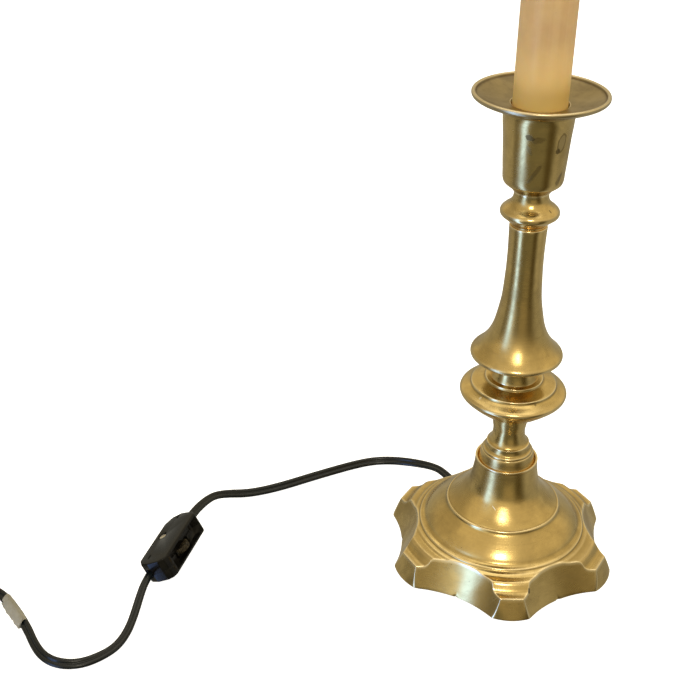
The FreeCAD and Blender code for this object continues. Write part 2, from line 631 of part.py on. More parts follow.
ribs.Originals = [groove]
ribs.Axis = (plane(wheel_body, "Z_Axis"), [""])
ribs.Angle = 360
ribs.setExpression("Occurrences", "Dims.wheel_ribs")
wheel_body.Tip = ribs
wheel_body.Placement = Placement(at_switch(wheel_x, 0, wheel_z - cells["wheel_thick"] / 2),
                                 switch_place.Rotation)
node("switch_wheel", wheel_body)

axle = doc.addObject("Part::Cylinder", "switch_axle")
axle.setExpression("Radius", "Dims.axle_radius")
axle.Height = 10.2
axle.Placement = Placement(at_switch(wheel_x, 0, -5.1), switch_place.Rotation)
node("switch_axle", axle)

head = cylinder("screw_head", 2.1, 1.1, (screw_x, screw_y, 5.35))
shank = cylinder("screw_shank", 1.2, 10.4, (screw_x, screw_y, -5.0))
screw = cut("switch_screw", fuse("screw_solid", [head, shank]),
            box("screw_slot", (screw_x - 3, screw_y - 0.3, 5.95), (screw_x + 3, screw_y + 0.3, 7)))
screw.Placement = switch_place
node("switch_screw", screw)

contacts = fuse("switch_contacts", [
    box("contact_far", (-1.0, 8.5, -5.1), (3.0, 14.5, -4.3)),
    box("contact_far_up", (-1.0, 8.5, -5.1), (3.0, 9.2, -1.5)),
    box("contact_near", (-1.0, -14.5, -5.1), (3.0, -8.5, -4.3)),
    box("contact_near_up", (-1.0, -9.2, -5.1), (3.0, -8.5, -1.5))])
contacts.Placement = switch_place
node("switch_contacts", contacts)

# ---- plug ---------------------------------------------------------------
# Local frame: Y from the cord towards the blades.

tail_a, tail_b = Vector(*TAIL[-2]), Vector(*TAIL[-1])
nose = Vector(tail_b.x - tail_a.x, tail_b.y - tail_a.y, 0).normalize()
plug_place = Placement(Matrix(nose.y, nose.x, 0, tail_b.x, -nose.x, nose.y, 0, tail_b.y,
                              0, 0, 1, tail_b.z, 0, 0, 0, 1))
plug = doc.addObject("PartDesign::Body", "plug_loft_body")
sections = []
for k, (back, wide, tall) in enumerate([(0.0, 7.5, 6.4), (9.0, 12.0, 8.4),
                                        (15.0, 23.0, 10.9), (24.0, 25.0, 10.9)]):
    size("plug_station_%d" % k, back)
    size("plug_wide_%d" % k, wide)
    size("plug_tall_%d" % k, tall)
    sketch = plug.newObject("Sketcher::SketchObject", "plug_section_%d" % k)
    sketch.AttachmentSupport = (plane(plug, "XZ_Plane"), "")
    sketch.MapMode = "FlatFace"
    sketch.AttachmentOffset = Placement(Vector(0, 0, -back), Rotation())
    w, t = wide / 2, tall / 2
    pts = [(-w, -t), (w, -t), (w, t), (-w, t)]
    sketch.addGeometry([Part.LineSegment(Vector(*pts[i], 0), Vector(*pts[(i + 1) % 4], 0))
                        for i in range(4)], False)
    sketch.addConstraint([Sketcher.Constraint("Coincident", i, 2, (i + 1) % 4, 1)
                          for i in range(4)])
    sketch.addConstraint([Sketcher.Constraint("Horizontal", 0),
                          Sketcher.Constraint("Horizontal", 2),
                          Sketcher.Constraint("Vertical", 1),
                          Sketcher.Constraint("Vertical", 3),
                          Sketcher.Constraint("Symmetric", 0, 1, 2, 1, -1, 1)])
    index = sketch.addConstraint(Sketcher.Constraint("DistanceX", 0, 1, 0, 2, wide))
    sketch.setExpression("Constraints[%d]" % index, "Dims.plug_wide_%d" % k)
    index = sketch.addConstraint(Sketcher.Constraint("DistanceY", 1, 1, 1, 2, tall))
    sketch.setExpression("Constraints[%d]" % index, "Dims.plug_tall_%d" % k)
    sections.append(sketch)
doc.recompute()
plug_loft = plug.newObject("PartDesign::AdditiveLoft", "plug_loft")
plug_loft.Profile = sections[0]
plug_loft.Sections = sections[1:]
plug_loft.Ruled = True
plug.Tip = plug_loft
doc.recompute()
print("plug loft", plug_loft.State, "%.0f" % plug.Shape.Volume,
      [round(v, 1) for v in (plug.Shape.BoundBox.YMin, plug.Shape.BoundBox.YMax)])
narrow = ((5.6, 19.0, -3.175), (7.1, 41.5, 3.175))
wide_blade = ((-7.1, 19.0, -3.97), (-5.6, 41.5, 3.97))
plug_cut = cut("plug_body", plug, fuse("plug_slots", [
    box("slot_narrow", narrow[0], narrow[1]), box("slot_wide", wide_blade[0], wide_blade[1])]))
plug_cut.Placement = plug_place
node("plug_body", plug_cut)
for label, (low, high), x in (("plug_blade_narrow", narrow, 4.0),
                              ("plug_blade_wide", wide_blade, -9.0)):
    blade = cut(label, box(label + "_bar", low, high),
                cylinder(label + "_hole", 1.6, 6, (x, 38.5, 0), (1, 0, 0)))
    blade.Placement = plug_place
    node(label, blade)

doc.recompute()

# ---- checks and files ---------------------------------------------------

for thing in doc.Objects:
    state = [s for s in thing.State if s in ("Invalid", "Error")]
    if state:
        raise RuntimeError("%s (%s): %s" % (thing.Name, thing.Label, state))
for label, thing in nodes.items():
    shape = thing.Shape
    if shape.isNull() or not shape.isValid() or not shape.Solids:
        raise RuntimeError("%s: no valid solid" % label)
    if shape.Volume <= 0:
        raise RuntimeError("%s: volume %.2f" % (label, shape.Volume))
os.makedirs("parts", exist_ok=True)
for label, thing in nodes.items():
    thing.Shape.exportStep("parts/%s.step" % label)
wheel_at, bulb_at = at_switch(wheel_x, 0, wheel_z), Vector(0, 0, 350)
print("switch lowest %.2f %.2f" % (upper_solid.Shape.BoundBox.ZMin,
                                   lower_solid.Shape.BoundBox.ZMin))
print("wheel at", [round(v, 3) for v in wheel_at], "axis", [round(v, 5) for v in sz])
print("plug at", [round(v, 3) for v in tail_b], "nose", [round(v, 5) for v in nose],
      "lowest %.2f" % plug_cut.Shape.BoundBox.ZMin)
print("%d nodes" % len(nodes))
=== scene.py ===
import math

import bmesh
import bpy
import numpy as np
from mathutils import Matrix, Vector


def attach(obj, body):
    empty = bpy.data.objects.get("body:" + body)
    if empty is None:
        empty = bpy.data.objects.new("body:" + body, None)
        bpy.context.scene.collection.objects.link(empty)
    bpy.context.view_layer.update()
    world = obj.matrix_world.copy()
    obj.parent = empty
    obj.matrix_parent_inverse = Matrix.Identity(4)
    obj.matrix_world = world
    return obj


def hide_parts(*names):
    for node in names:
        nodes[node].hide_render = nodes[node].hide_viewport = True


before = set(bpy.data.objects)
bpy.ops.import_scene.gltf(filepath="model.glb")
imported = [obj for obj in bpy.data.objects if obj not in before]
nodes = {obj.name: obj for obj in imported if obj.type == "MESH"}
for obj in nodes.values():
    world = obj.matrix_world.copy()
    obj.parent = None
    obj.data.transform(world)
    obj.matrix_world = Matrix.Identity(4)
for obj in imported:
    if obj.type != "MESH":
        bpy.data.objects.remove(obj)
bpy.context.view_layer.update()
MM = 0.001
scene = bpy.context.scene

# ---- camera ---------------------------------------------------------------

heading, pitch, roll = math.radians(-0.57), math.radians(30.56), math.radians(0.72)
ahead = Vector((math.sin(heading) * math.cos(pitch), math.cos(heading) * math.cos(pitch),
                -math.sin(pitch)))
level = Vector((math.cos(heading), -math.sin(heading), 0.0))
over = level.cross(ahead)
right = level * math.cos(roll) + over * math.sin(roll)
up = over * math.cos(roll) - level * math.sin(roll)
view = bpy.data.cameras.new("view")
view.lens, view.sensor_width = 60.89, 36.0
view.clip_start, view.clip_end = 0.02, 60.0
camera = bpy.data.objects.new("view", view)
pose = Matrix((right, up, -ahead)).transposed().to_4x4()
pose.translation = (-0.08168, -0.53379, 0.4428)
camera.matrix_world = pose
scene.collection.objects.link(camera)
scene.camera = camera


# ---- mesh helpers ---------------------------------------------------------

def solid(name, verts, faces, material, body, stands_for=(), smooth=True,
          marks=None, unit=MM, merge=0.0, sharp=None):
    """A mesh object from points and faces, riding on a body."""
    mesh = bpy.data.meshes.new(name)
    mesh.from_pydata([tuple(float(c) * unit for c in v) for v in verts], [],
                     [tuple(int(i) for i in f) for f in faces])
    for key, values in (marks or {}).items():
        layer = mesh.attributes.new(key, "FLOAT", "POINT")
        layer.data.foreach_set("value", np.asarray(values, np.float32))
    if merge:
        work = bmesh.new()
        work.from_mesh(mesh)
        bmesh.ops.remove_doubles(work, verts=work.verts, dist=merge * unit)
        bmesh.ops.dissolve_degenerate(work, edges=work.edges, dist=merge * unit * 0.5)
        work.to_mesh(mesh)
        work.free()
    work = bmesh.new()
    work.from_mesh(mesh)
    bmesh.ops.recalc_face_normals(work, faces=work.faces)
    if sharp is not None:
        for edge in work.edges:
            if len(edge.link_faces) == 2 and edge.calc_face_angle(0.0) > math.radians(sharp):
                edge.smooth = False
    work.to_mesh(mesh)
    work.free()
    mesh.polygons.foreach_set("use_smooth", [smooth] * len(mesh.polygons))
    mesh.update()
    thing = bpy.data.objects.new(name, mesh)
    scene.collection.objects.link(thing)
    thing.data.materials.append(material)
    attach(thing, body)
    if stands_for:
        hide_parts(*stands_for)
    return thing


def settled(thing):
    """The object's mesh with its modifiers worked in."""
    bpy.context.view_layer.update()
    graph = bpy.context.evaluated_depsgraph_get()
    mesh = bpy.data.meshes.new_from_object(thing.evaluated_get(graph))
    old = thing.data
    thing.modifiers.clear()
    thing.data = mesh
    bpy.data.meshes.remove(old)
    return thing


def grid_faces(rows, cols, wrap_rows=False, wrap_cols=True):
    faces = []
    for i in range(rows if wrap_rows else rows - 1):
        for j in range(cols if wrap_cols else cols - 1):
            a, b = i * cols + j, i * cols + (j + 1) % cols
            c, d = ((i + 1) % rows) * cols + (j + 1) % cols, ((i + 1) % rows) * cols + j
            faces.append((a, b, c, d))
    return faces


# ---- profiles -------------------------------------------------------------

def soft_line(points, closed=False, corner=38.0, least=0.13, most=1.6, share=0.32,
              step=0.06, fine=0.006, spread=1.6):
    """A smooth line through a half section's points, its corners a little worn.

    Returns the points and how sharply the line bends at each, with its sign."""
    pts = [np.array(p, float) for p in points]
    count = len(pts)
    reach = [np.linalg.norm(pts[(i + 1) % count] - pts[i]) for i in range(count)]

    def turn(i):
        if not closed and i in (0, count - 1):
            return 180.0
        a, b = pts[i] - pts[i - 1], pts[(i + 1) % count] - pts[i]
        return abs(math.degrees(math.atan2(a[0] * b[1] - a[1] * b[0], a @ b)))

    hard = [turn(i) > corner for i in range(count)]
    dense, width = [], []
    last = count if closed else count - 1
    sigma = [least if hard[i] else min(most, max(least, share * min(reach[i - 1], reach[i])))
             for i in range(count)]
    for i in range(last):
        p1, p2 = pts[i], pts[(i + 1) % count]
        p0 = 2 * p1 - p2 if hard[i] else pts[i - 1]
        p3 = 2 * p2 - p1 if hard[(i + 1) % count] else pts[(i + 2) % count]
        t0 = 0.0
        t1 = t0 + max(1e-6, np.linalg.norm(p1 - p0)) ** 0.5
        t2 = t1 + max(1e-6, np.linalg.norm(p2 - p1)) ** 0.5
        t3 = t2 + max(1e-6, np.linalg.norm(p3 - p2)) ** 0.5
        n = max(3, int(math.ceil(reach[i] / step)))
        for k in range(n):
            t = t1 + (t2 - t1) * k / n
            a1 = (t1 - t) / (t1 - t0) * p0 + (t - t0) / (t1 - t0) * p1
            a2 = (t2 - t) / (t2 - t1) * p1 + (t - t1) / (t2 - t1) * p2
            a3 = (t3 - t) / (t3 - t2) * p2 + (t - t2) / (t3 - t2) * p3
            b1 = (t2 - t) / (t2 - t0) * a1 + (t - t0) / (t2 - t0) * a2
            b2 = (t3 - t) / (t3 - t1) * a2 + (t - t1) / (t3 - t1) * a3
            dense.append((t2 - t) / (t2 - t1) * b1 + (t - t1) / (t2 - t1) * b2)
            f = k / n
            width.append(sigma[i] * (1 - f) + sigma[(i + 1) % count] * f)
    if not closed:
        dense.append(pts[-1])
        width.append(sigma[-1])
    line, width = np.array(dense), np.array(width)
    gap = np.linalg.norm(np.diff(line, axis=0, append=line[:1]), axis=1)
    along = np.concatenate([[0.0], np.cumsum(gap)[:-1]])
    total = along[-1] + (gap[-1] if closed else 0.0)
    soft = np.empty_like(line)
    n = len(line)
    for i in range(n):
        away = along - along[i]
        if closed:
            away = (away + total / 2) % total - total / 2
        near = np.abs(away) < 3.2 * width[i]
        weight = np.exp(-0.5 * (away[near] / width[i]) ** 2)
        if closed:
            soft[i] = (weight[:, None] * line[near]).sum(0) / weight.sum()
        else:
            # Past an end the line goes straight on, so that the end stays put.
            q, w = line[near], weight
            if along[i] < 3.2 * width[i]:
                low = np.abs(along - 0.0) < 3.2 * width[i] - along[i]
                q = np.vstack([q, 2 * line[0] - line[low]])
                w = np.concatenate([w, np.exp(-0.5 * ((along[low] + along[i]) / width[i]) ** 2)])
            if total - along[i] < 3.2 * width[i]:
                rest = total - along
                high = rest < 3.2 * width[i] - (total - along[i])
                q = np.vstack([q, 2 * line[-1] - line[high]])
                w = np.concatenate([w, np.exp(-0.5 * ((rest[high] + total - along[i])
                                                      / width[i]) ** 2)])
            soft[i] = (w[:, None] * q).sum(0) / w.sum()
    if closed:
        before, after = np.roll(soft, 6, 0), np.roll(soft, -6, 0)
    else:
        index = np.arange(n)
        before, after = soft[np.maximum(index - 6, 0)], soft[np.minimum(index + 6, n - 1)]
    u, v = soft - before, after - soft
    lu, lv = np.linalg.norm(u, axis=1) + 1e-9, np.linalg.norm(v, axis=1) + 1e-9
    bend = np.arctan2(u[:, 0] * v[:, 1] - u[:, 1] * v[:, 0], (u * v).sum(1)) / ((lu + lv) / 2)
    # Samples: enough to keep within `fine` of the line, no gap over `spread`.
    keep = [0]
    i = 0
    while i < n - 1:
        j = i + 1
        while j + 1 < n:
            k = j + 1
            chord = soft[k] - soft[i]
            length = np.linalg.norm(chord)
            if length > spread:
                break
            mid = soft[i + 1:k]
            off = np.abs((mid[:, 0] - soft[i, 0]) * chord[1]
                         - (mid[:, 1] - soft[i, 1]) * chord[0]) / max(length, 1e-9)
            if off.max() > fine:
                break
            j = k
        keep.append(j)
        i = j
    if closed and np.linalg.norm(soft[keep[-1]] - soft[0]) < 0.05:
        keep.pop()
    keep = np.array(keep)
    return soft[keep], bend[keep]


def handed(points):
    """+1 if the closed line runs anticlockwise in (across, along), else -1."""
    area = 0.0
    for (a, b), (c, d) in zip(points, points[1:] + points[:1]):
        area += a * d - c * b
    return 1.0 if area > 0 else -1.0


def turned(name, points, material, body, slot, stands_for, around=168, ends=False,
           warp=None, **options):
    """A body of revolution about the lamp's axis, from a half section.

    With ends the line starts and stops on the axis; warp moves (radius, height, angle)."""
    line, bend = soft_line(points, closed=not ends, **options)
    if ends:
        line[0, 0] = line[-1, 0] = 0.0
    sign = handed([tuple(p) for p in points])
    bend = bend * sign
    angle = np.arange(around) * 2 * math.pi / around
    across = np.maximum(line[:, 0], 0.0)
    verts = np.stack([np.outer(across, np.cos(angle)), np.outer(across, np.sin(angle)),
                      np.repeat(line[:, 1][:, None], around, 1)], 2).reshape(-1, 3)
    if warp is not None:
        for k, v in enumerate(verts):
            r = warp(across[k // around], line[k // around, 1], angle[k % around])
            verts[k] = (r * math.cos(angle[k % around]), r * math.sin(angle[k % around]), v[2])
    # Convex bends get wear_and_highlight: worn polish plus a painted highlight along the edges;
    # hollows get grime.
    wear_and_highlight = np.clip(bend * 0.55, 0, 1)
    grime = np.clip(-bend * 0.9, 0, 1)
    marks = {"wear_and_highlight": np.repeat(wear_and_highlight, around), "grime": np.repeat(grime, around)}
    return solid(name, verts, grid_faces(len(line), around, wrap_rows=not ends), material,
                 body, stands_for, marks=marks, merge=0.002 if ends else 0.0)


# ---- material helpers -----------------------------------------------------

class Nodes:
    """A short way to write a material's nodes."""

    def __init__(self, name):
        self.material = bpy.data.materials.new(name)
        self.material.use_nodes = True
        self.tree = self.material.node_tree
        self.tree.nodes.clear()
        self.out = self.tree.nodes.new("ShaderNodeOutputMaterial")
        self.shader = self.tree.nodes.new("ShaderNodeBsdfPrincipled")
        self.tree.links.new(self.shader.outputs[0], self.out.inputs[0])
        self.place = self.tree.nodes.new("ShaderNodeTexCoord").outputs["Object"]

    def add(self, kind, **props):
        node = self.tree.nodes.new(kind)
        for key, value in props.items():
            setattr(node, key, value)
        return node

    def link(self, source, target):
        if isinstance(source, (int, float)):
            target.default_value = source
        elif isinstance(source, (tuple, list)):
            target.default_value = tuple(source) + ((1.0,) if len(source) == 3
                                                    and target.type == "RGBA" else ())
        else:
            self.tree.links.new(source, target)

    def math(self, operation, a, b=0.0, c=0.0, clamp=False):
        node = self.add("ShaderNodeMath", operation=operation, use_clamp=clamp)
        self.link(a, node.inputs[0])
        self.link(b, node.inputs[1])
        self.link(c, node.inputs[2])
        return node.outputs[0]

    def vector(self, operation, a, b=(0.0, 0.0, 0.0)):
        node = self.add("ShaderNodeVectorMath", operation=operation)
        self.link(a, node.inputs[0])
        if operation == "SCALE":
            self.link(b, node.inputs["Scale"])
        else:
            self.link(b, node.inputs[1])
        return node.outputs["Value" if operation in ("LENGTH", "DISTANCE", "DOT_PRODUCT")
                            else "Vector"]

    def noise(self, scale, detail=3.0, rough=0.5, where=None, twist=0.0):
        node = self.add("ShaderNodeTexNoise")
        self.link(where if where is not None else self.place, node.inputs["Vector"])
        node.inputs["Scale"].default_value = scale
        node.inputs["Detail"].default_value = detail
        node.inputs["Roughness"].default_value = rough
        node.inputs["Distortion"].default_value = twist
        return node.outputs["Fac"]

    def cells(self, scale, where=None, feature="F1", random=1.0):
        node = self.add("ShaderNodeTexVoronoi", feature=feature)
        self.link(where if where is not None else self.place, node.inputs["Vector"])
        node.inputs["Scale"].default_value = scale
        node.inputs["Randomness"].default_value = random
        return node.outputs["Distance"]

    def step(self, value, low, high, to_low=0.0, to_high=1.0):
        node = self.add("ShaderNodeMapRange", interpolation_type="SMOOTHSTEP")
        self.link(value, node.inputs["Value"])
        for key, number in (("From Min", low), ("From Max", high), ("To Min", to_low),
                            ("To Max", to_high)):
            node.inputs[key].default_value = number
        return node.outputs["Result"]

    def mix(self, factor, a, b, kind="MIX"):
        node = self.add("ShaderNodeMix", data_type="RGBA", blend_type=kind)
        self.link(factor, node.inputs["Factor"])
        self.link(a, node.inputs["A"] if False else node.inputs[6])
        self.link(b, node.inputs[7])
        return node.outputs[2]

    def blend(self, factor, a, b):
        node = self.add("ShaderNodeMix", data_type="FLOAT")
        self.link(factor, node.inputs[0])
        self.link(a, node.inputs[2])
        self.link(b, node.inputs[3])
        return node.outputs[0]

    def split(self, vector):
        node = self.add("ShaderNodeSeparateXYZ")
        self.link(vector, node.inputs[0])
        return node.outputs[0], node.outputs[1], node.outputs[2]

    def join(self, x, y, z):
        node = self.add("ShaderNodeCombineXYZ")
        for value, target in zip((x, y, z), node.inputs):
            self.link(value, target)
        return node.outputs[0]

    def mark(self, name):
        node = self.add("ShaderNodeAttribute", attribute_name=name)
        return node.outputs["Fac"]

    def bump(self, height, distance, strength=1.0, under=None):
        node = self.add("ShaderNodeBump")
        node.inputs["Strength"].default_value = strength
        node.inputs["Distance"].default_value = distance
        self.link(height, node.inputs["Height"])
        if under is not None:
            self.link(under, node.inputs["Normal"])
        return node.outputs[0]

    def set(self, **values):
        names = {"color": "Base Color", "rough": "Roughness", "normal": "Normal",
                 "metal": "Metallic", "aniso": "Anisotropic", "coat": "Coat Weight",
                 "coat_rough": "Coat Roughness", "ior": "IOR",
                 "subsurface": "Subsurface Weight", "radius": "Subsurface Radius",
                 "sub_scale": "Subsurface Scale", "glass": "Transmission Weight",
                 "sheen": "Sheen Weight", "sheen_rough": "Sheen Roughness",
                 "specular": "Specular IOR Level", "tangent": "Tangent",
                 "glow": "Emission Color", "glow_strength": "Emission Strength"}
        for key, value in values.items():
            self.link(value, self.shader.inputs[names[key]])
        return self.material


# ---- cord: its line -------------------------------------------------------

LAMP_SIDE = [
    (-25.25, 43.734, 12.0), (-30.0, 51.96, 12.0), (-35.0, 59.0, 10.1), (-41.8, 66.0, 7.0),
    (-50.8, 71.5, 4.6), (-61.8, 75.0, 3.0), (-73.5, 74.6, 2.3), (-85.5, 69.8, 2.3),
    (-98.5, 63.2, 2.3), (-112.0, 56.0, 2.3), (-125.5, 48.4, 2.3), (-138.5, 42.2, 2.4),
    (-149.5, 38.0, 3.1), (-160.5, 34.2, 5.6), (-167.8, 28.6, 8.1), (-173.4, 18.6, 9.5),
    (-177.6, 8.6, 9.8), (-179.9, 0.2, 9.87)]
PLUG_SIDE = [
    (-193.9, -39.9, 7.8), (-195.9, -47.3, 7.4), (-197.0, -54.8, 6.3), (-197.8, -63.3, 4.9),
    (-198.7, -72.6, 3.6), (-200.4, -82.0, 2.7), (-204.0, -91.0, 2.3),
    (-210.4, -97.6, 2.3), (-218.8, -102.8, 2.3), (-228.4, -103.8, 2.3),
    (-237.6, -100.3, 2.3), (-245.0, -92.4, 2.4), (-253.8, -76.8, 2.8),
    (-269.8, -55.9, 2.9), (-284.0, -47.4, 2.7), (-298.5, -46.4, 2.8), (-317.5, -49.0, 2.8)]
TAIL = [
    (-371.2, -5.5, 11.2), (-371.0, 2.5, 8.4), (-370.9, 9.3, 7.0), (-369.9, 16.3, 6.1),
    (-367.7, 22.9, 5.6), (-366.8, 25.3, 5.6)]
COIL_AT = (-337.0, -15.0)
ROWS = (34.4, 29.05, 23.7)
LAYERS = (2.8, 8.05, 13.25)


def ease(value, low, high):
    share = min(1.0, max(0.0, (value - low) / (high - low)))
    return share * share * (3 - 2 * share)


def coil_turns(per_turn=16):
    """The wound part: three rows, up a layer, three rows back, and a last turn on top."""
    stops = [(ROWS[0], LAYERS[0]), (ROWS[1], LAYERS[0]), (ROWS[2], LAYERS[0]),
             (ROWS[2], LAYERS[1]), (ROWS[1], LAYERS[1]), (ROWS[0], LAYERS[1]),
             (ROWS[1], LAYERS[2])]
    found = []
    count = int(round(7.25 * per_turn))
    for k in range(-1, count + 1):
        turn = k / per_turn
        row = min(max(int(math.floor(turn + 1e-9)), 0), len(stops) - 1)
        across, high = stops[row]
        if row + 1 < len(stops):
            share = ease(turn - row, 0.80, 1.02)
            across += (stops[row + 1][0] - across) * share
            high += (stops[row + 1][1] - high) * ease(turn - row, 0.76, 0.98)
        else:
            across += (ROWS[0] + 0.4 - across) * ease(turn, 6.30, 6.62)
        angle = math.radians(270.0 - 360.0 * turn)
        across *= 1.011
        found.append((COIL_AT[0] + across * math.cos(angle),
                      COIL_AT[1] + across * math.sin(angle), high))
    return found


def spline_points(name, points, fine=10):
    """Points read from the smooth spline that has these as its control points."""
    curve = bpy.data.curves.new(name, "CURVE")
    curve.dimensions = "3D"
    curve.resolution_u = fine
    line = curve.splines.new("NURBS")
    line.points.add(len(points) - 1)
    for spot, point in zip(line.points, points):
        spot.co = (point[0] * MM, point[1] * MM, point[2] * MM, 1.0)
    line.order_u = 3
    line.use_endpoint_u = True
    line.resolution_u = fine
    thing = bpy.data.objects.new(name, curve)
    mesh = bpy.data.meshes.new_from_object(thing)
    found = [v.co.copy() for v in mesh.vertices]
    bpy.data.objects.remove(thing)
    bpy.data.curves.remove(curve)
    bpy.data.meshes.remove(mesh)
    clean = [found[0]]
    for p in found[1:]:
        if (p - clean[-1]).length > 0.25 * MM:
            clean.append(p)
    return clean


def flat_section():
    """Two round conductors side by side, joined by a thin web."""
    half, centre = 1.35, 1.30
    found = []
    for k in range(9):
        angle = math.radians(-128 + 256 * k / 8)
        found.append((centre + half * math.cos(angle), half * math.sin(angle)))
    found.append((0.22, 0.72))
    found.append((-0.22, 0.72))
    for k in range(9):
        angle = math.radians(52 + 256 * k / 8)
        found.append((-centre + half * math.cos(angle), half * math.sin(angle)))
    found.append((-0.22, -0.72))
    found.append((0.22, -0.72))
    return found


def flat_cord(name, line, rolls, material, body, stands_for, closed_ends=True):
    """The twin cord along a line; rolls lists (millimetres along, degrees)."""
    section = flat_section()
    count = len(line)
    run = [0.0]
    for a, b in zip(line, line[1:]):
        run.append(run[-1] + (b - a).length / MM)
    verts = []
    for i, point in enumerate(line):
        a, b = line[max(i - 1, 0)], line[min(i + 1, count - 1)]
        forward = (b - a).normalized()
        side = forward.cross(Vector((0, 0, 1))).normalized()
        top = side.cross(forward).normalized()
        turn = math.radians(float(np.interp(run[i], [x for x, _ in rolls],
                                            [y for _, y in rolls])))
        wide = side * math.cos(turn) + top * math.sin(turn)
        thin = top * math.cos(turn) - side * math.sin(turn)
        for x, y in section:
            verts.append((point + wide * x * MM + thin * y * MM) / MM)
    faces = grid_faces(count, len(section))
    size = len(section)
    if closed_ends:
        faces.append(tuple(range(size - 1, -1, -1)))
        faces.append(tuple((count - 1) * size + k for k in range(size)))
    return solid(name, verts, faces, material, body, stands_for)


def cord_material():
    n = Nodes("dark_pvc")
    broad = n.noise(38.0, 3.0)
    fine = n.noise(900.0, 4.0, 0.6)
    dust = n.step(n.noise(160.0, 5.0, 0.65), 0.52, 0.78)
    color = n.mix(n.step(broad, 0.3, 0.7), (0.0026, 0.0044, 0.006), (0.006, 0.009, 0.011))
    color = n.mix(n.math("MULTIPLY", dust, 0.2), color, (0.024, 0.027, 0.028))
    rough = n.math("ADD", n.math("MULTIPLY", fine, 0.16), n.math("MULTIPLY", dust, 0.12))
    return n.set(color=color, rough=n.math("ADD", rough, 0.17), specular=0.42,
                 normal=n.bump(n.math("ADD", fine, n.math("MULTIPLY", broad, 2.0)), 0.00012, 0.5))


DARK_PVC = cord_material()
lamp_line = spline_points("lamp_side_line", LAMP_SIDE)
plug_line = spline_points("plug_side_line", PLUG_SIDE + coil_turns() + TAIL)
lamp_cord = flat_cord("cord_lamp_side_flat", lamp_line,
                      [(0, 0), (10, 0), (40, 34), (120, 42), (150, 30), (172, 8), (200, 28)],
                      DARK_PVC, "lamp", ["cord_lamp_side"])
plug_cord = flat_cord("cord_plug_side_flat", plug_line,
                      [(0, -28), (12, -30), (35, -26), (60, 6), (84, 42), (110, 46), (150, 30),
                       (185, 38), (230, 62), (420, 70), (700, 58), (1000, 66), (1250, 60),
                       (1480, 58), (1560, 30), (1600, 0)],
                      DARK_PVC, "lamp",
                      ["cord_plug_side", "cord_coil", "cord_tail"])


def line_length(line):
    return sum((b - a).length for a, b in zip(line, line[1:]))


print("cord lengths", round(line_length(lamp_line), 4), round(line_length(plug_line), 4))

# ---- brass ----------------------------------------------------------------


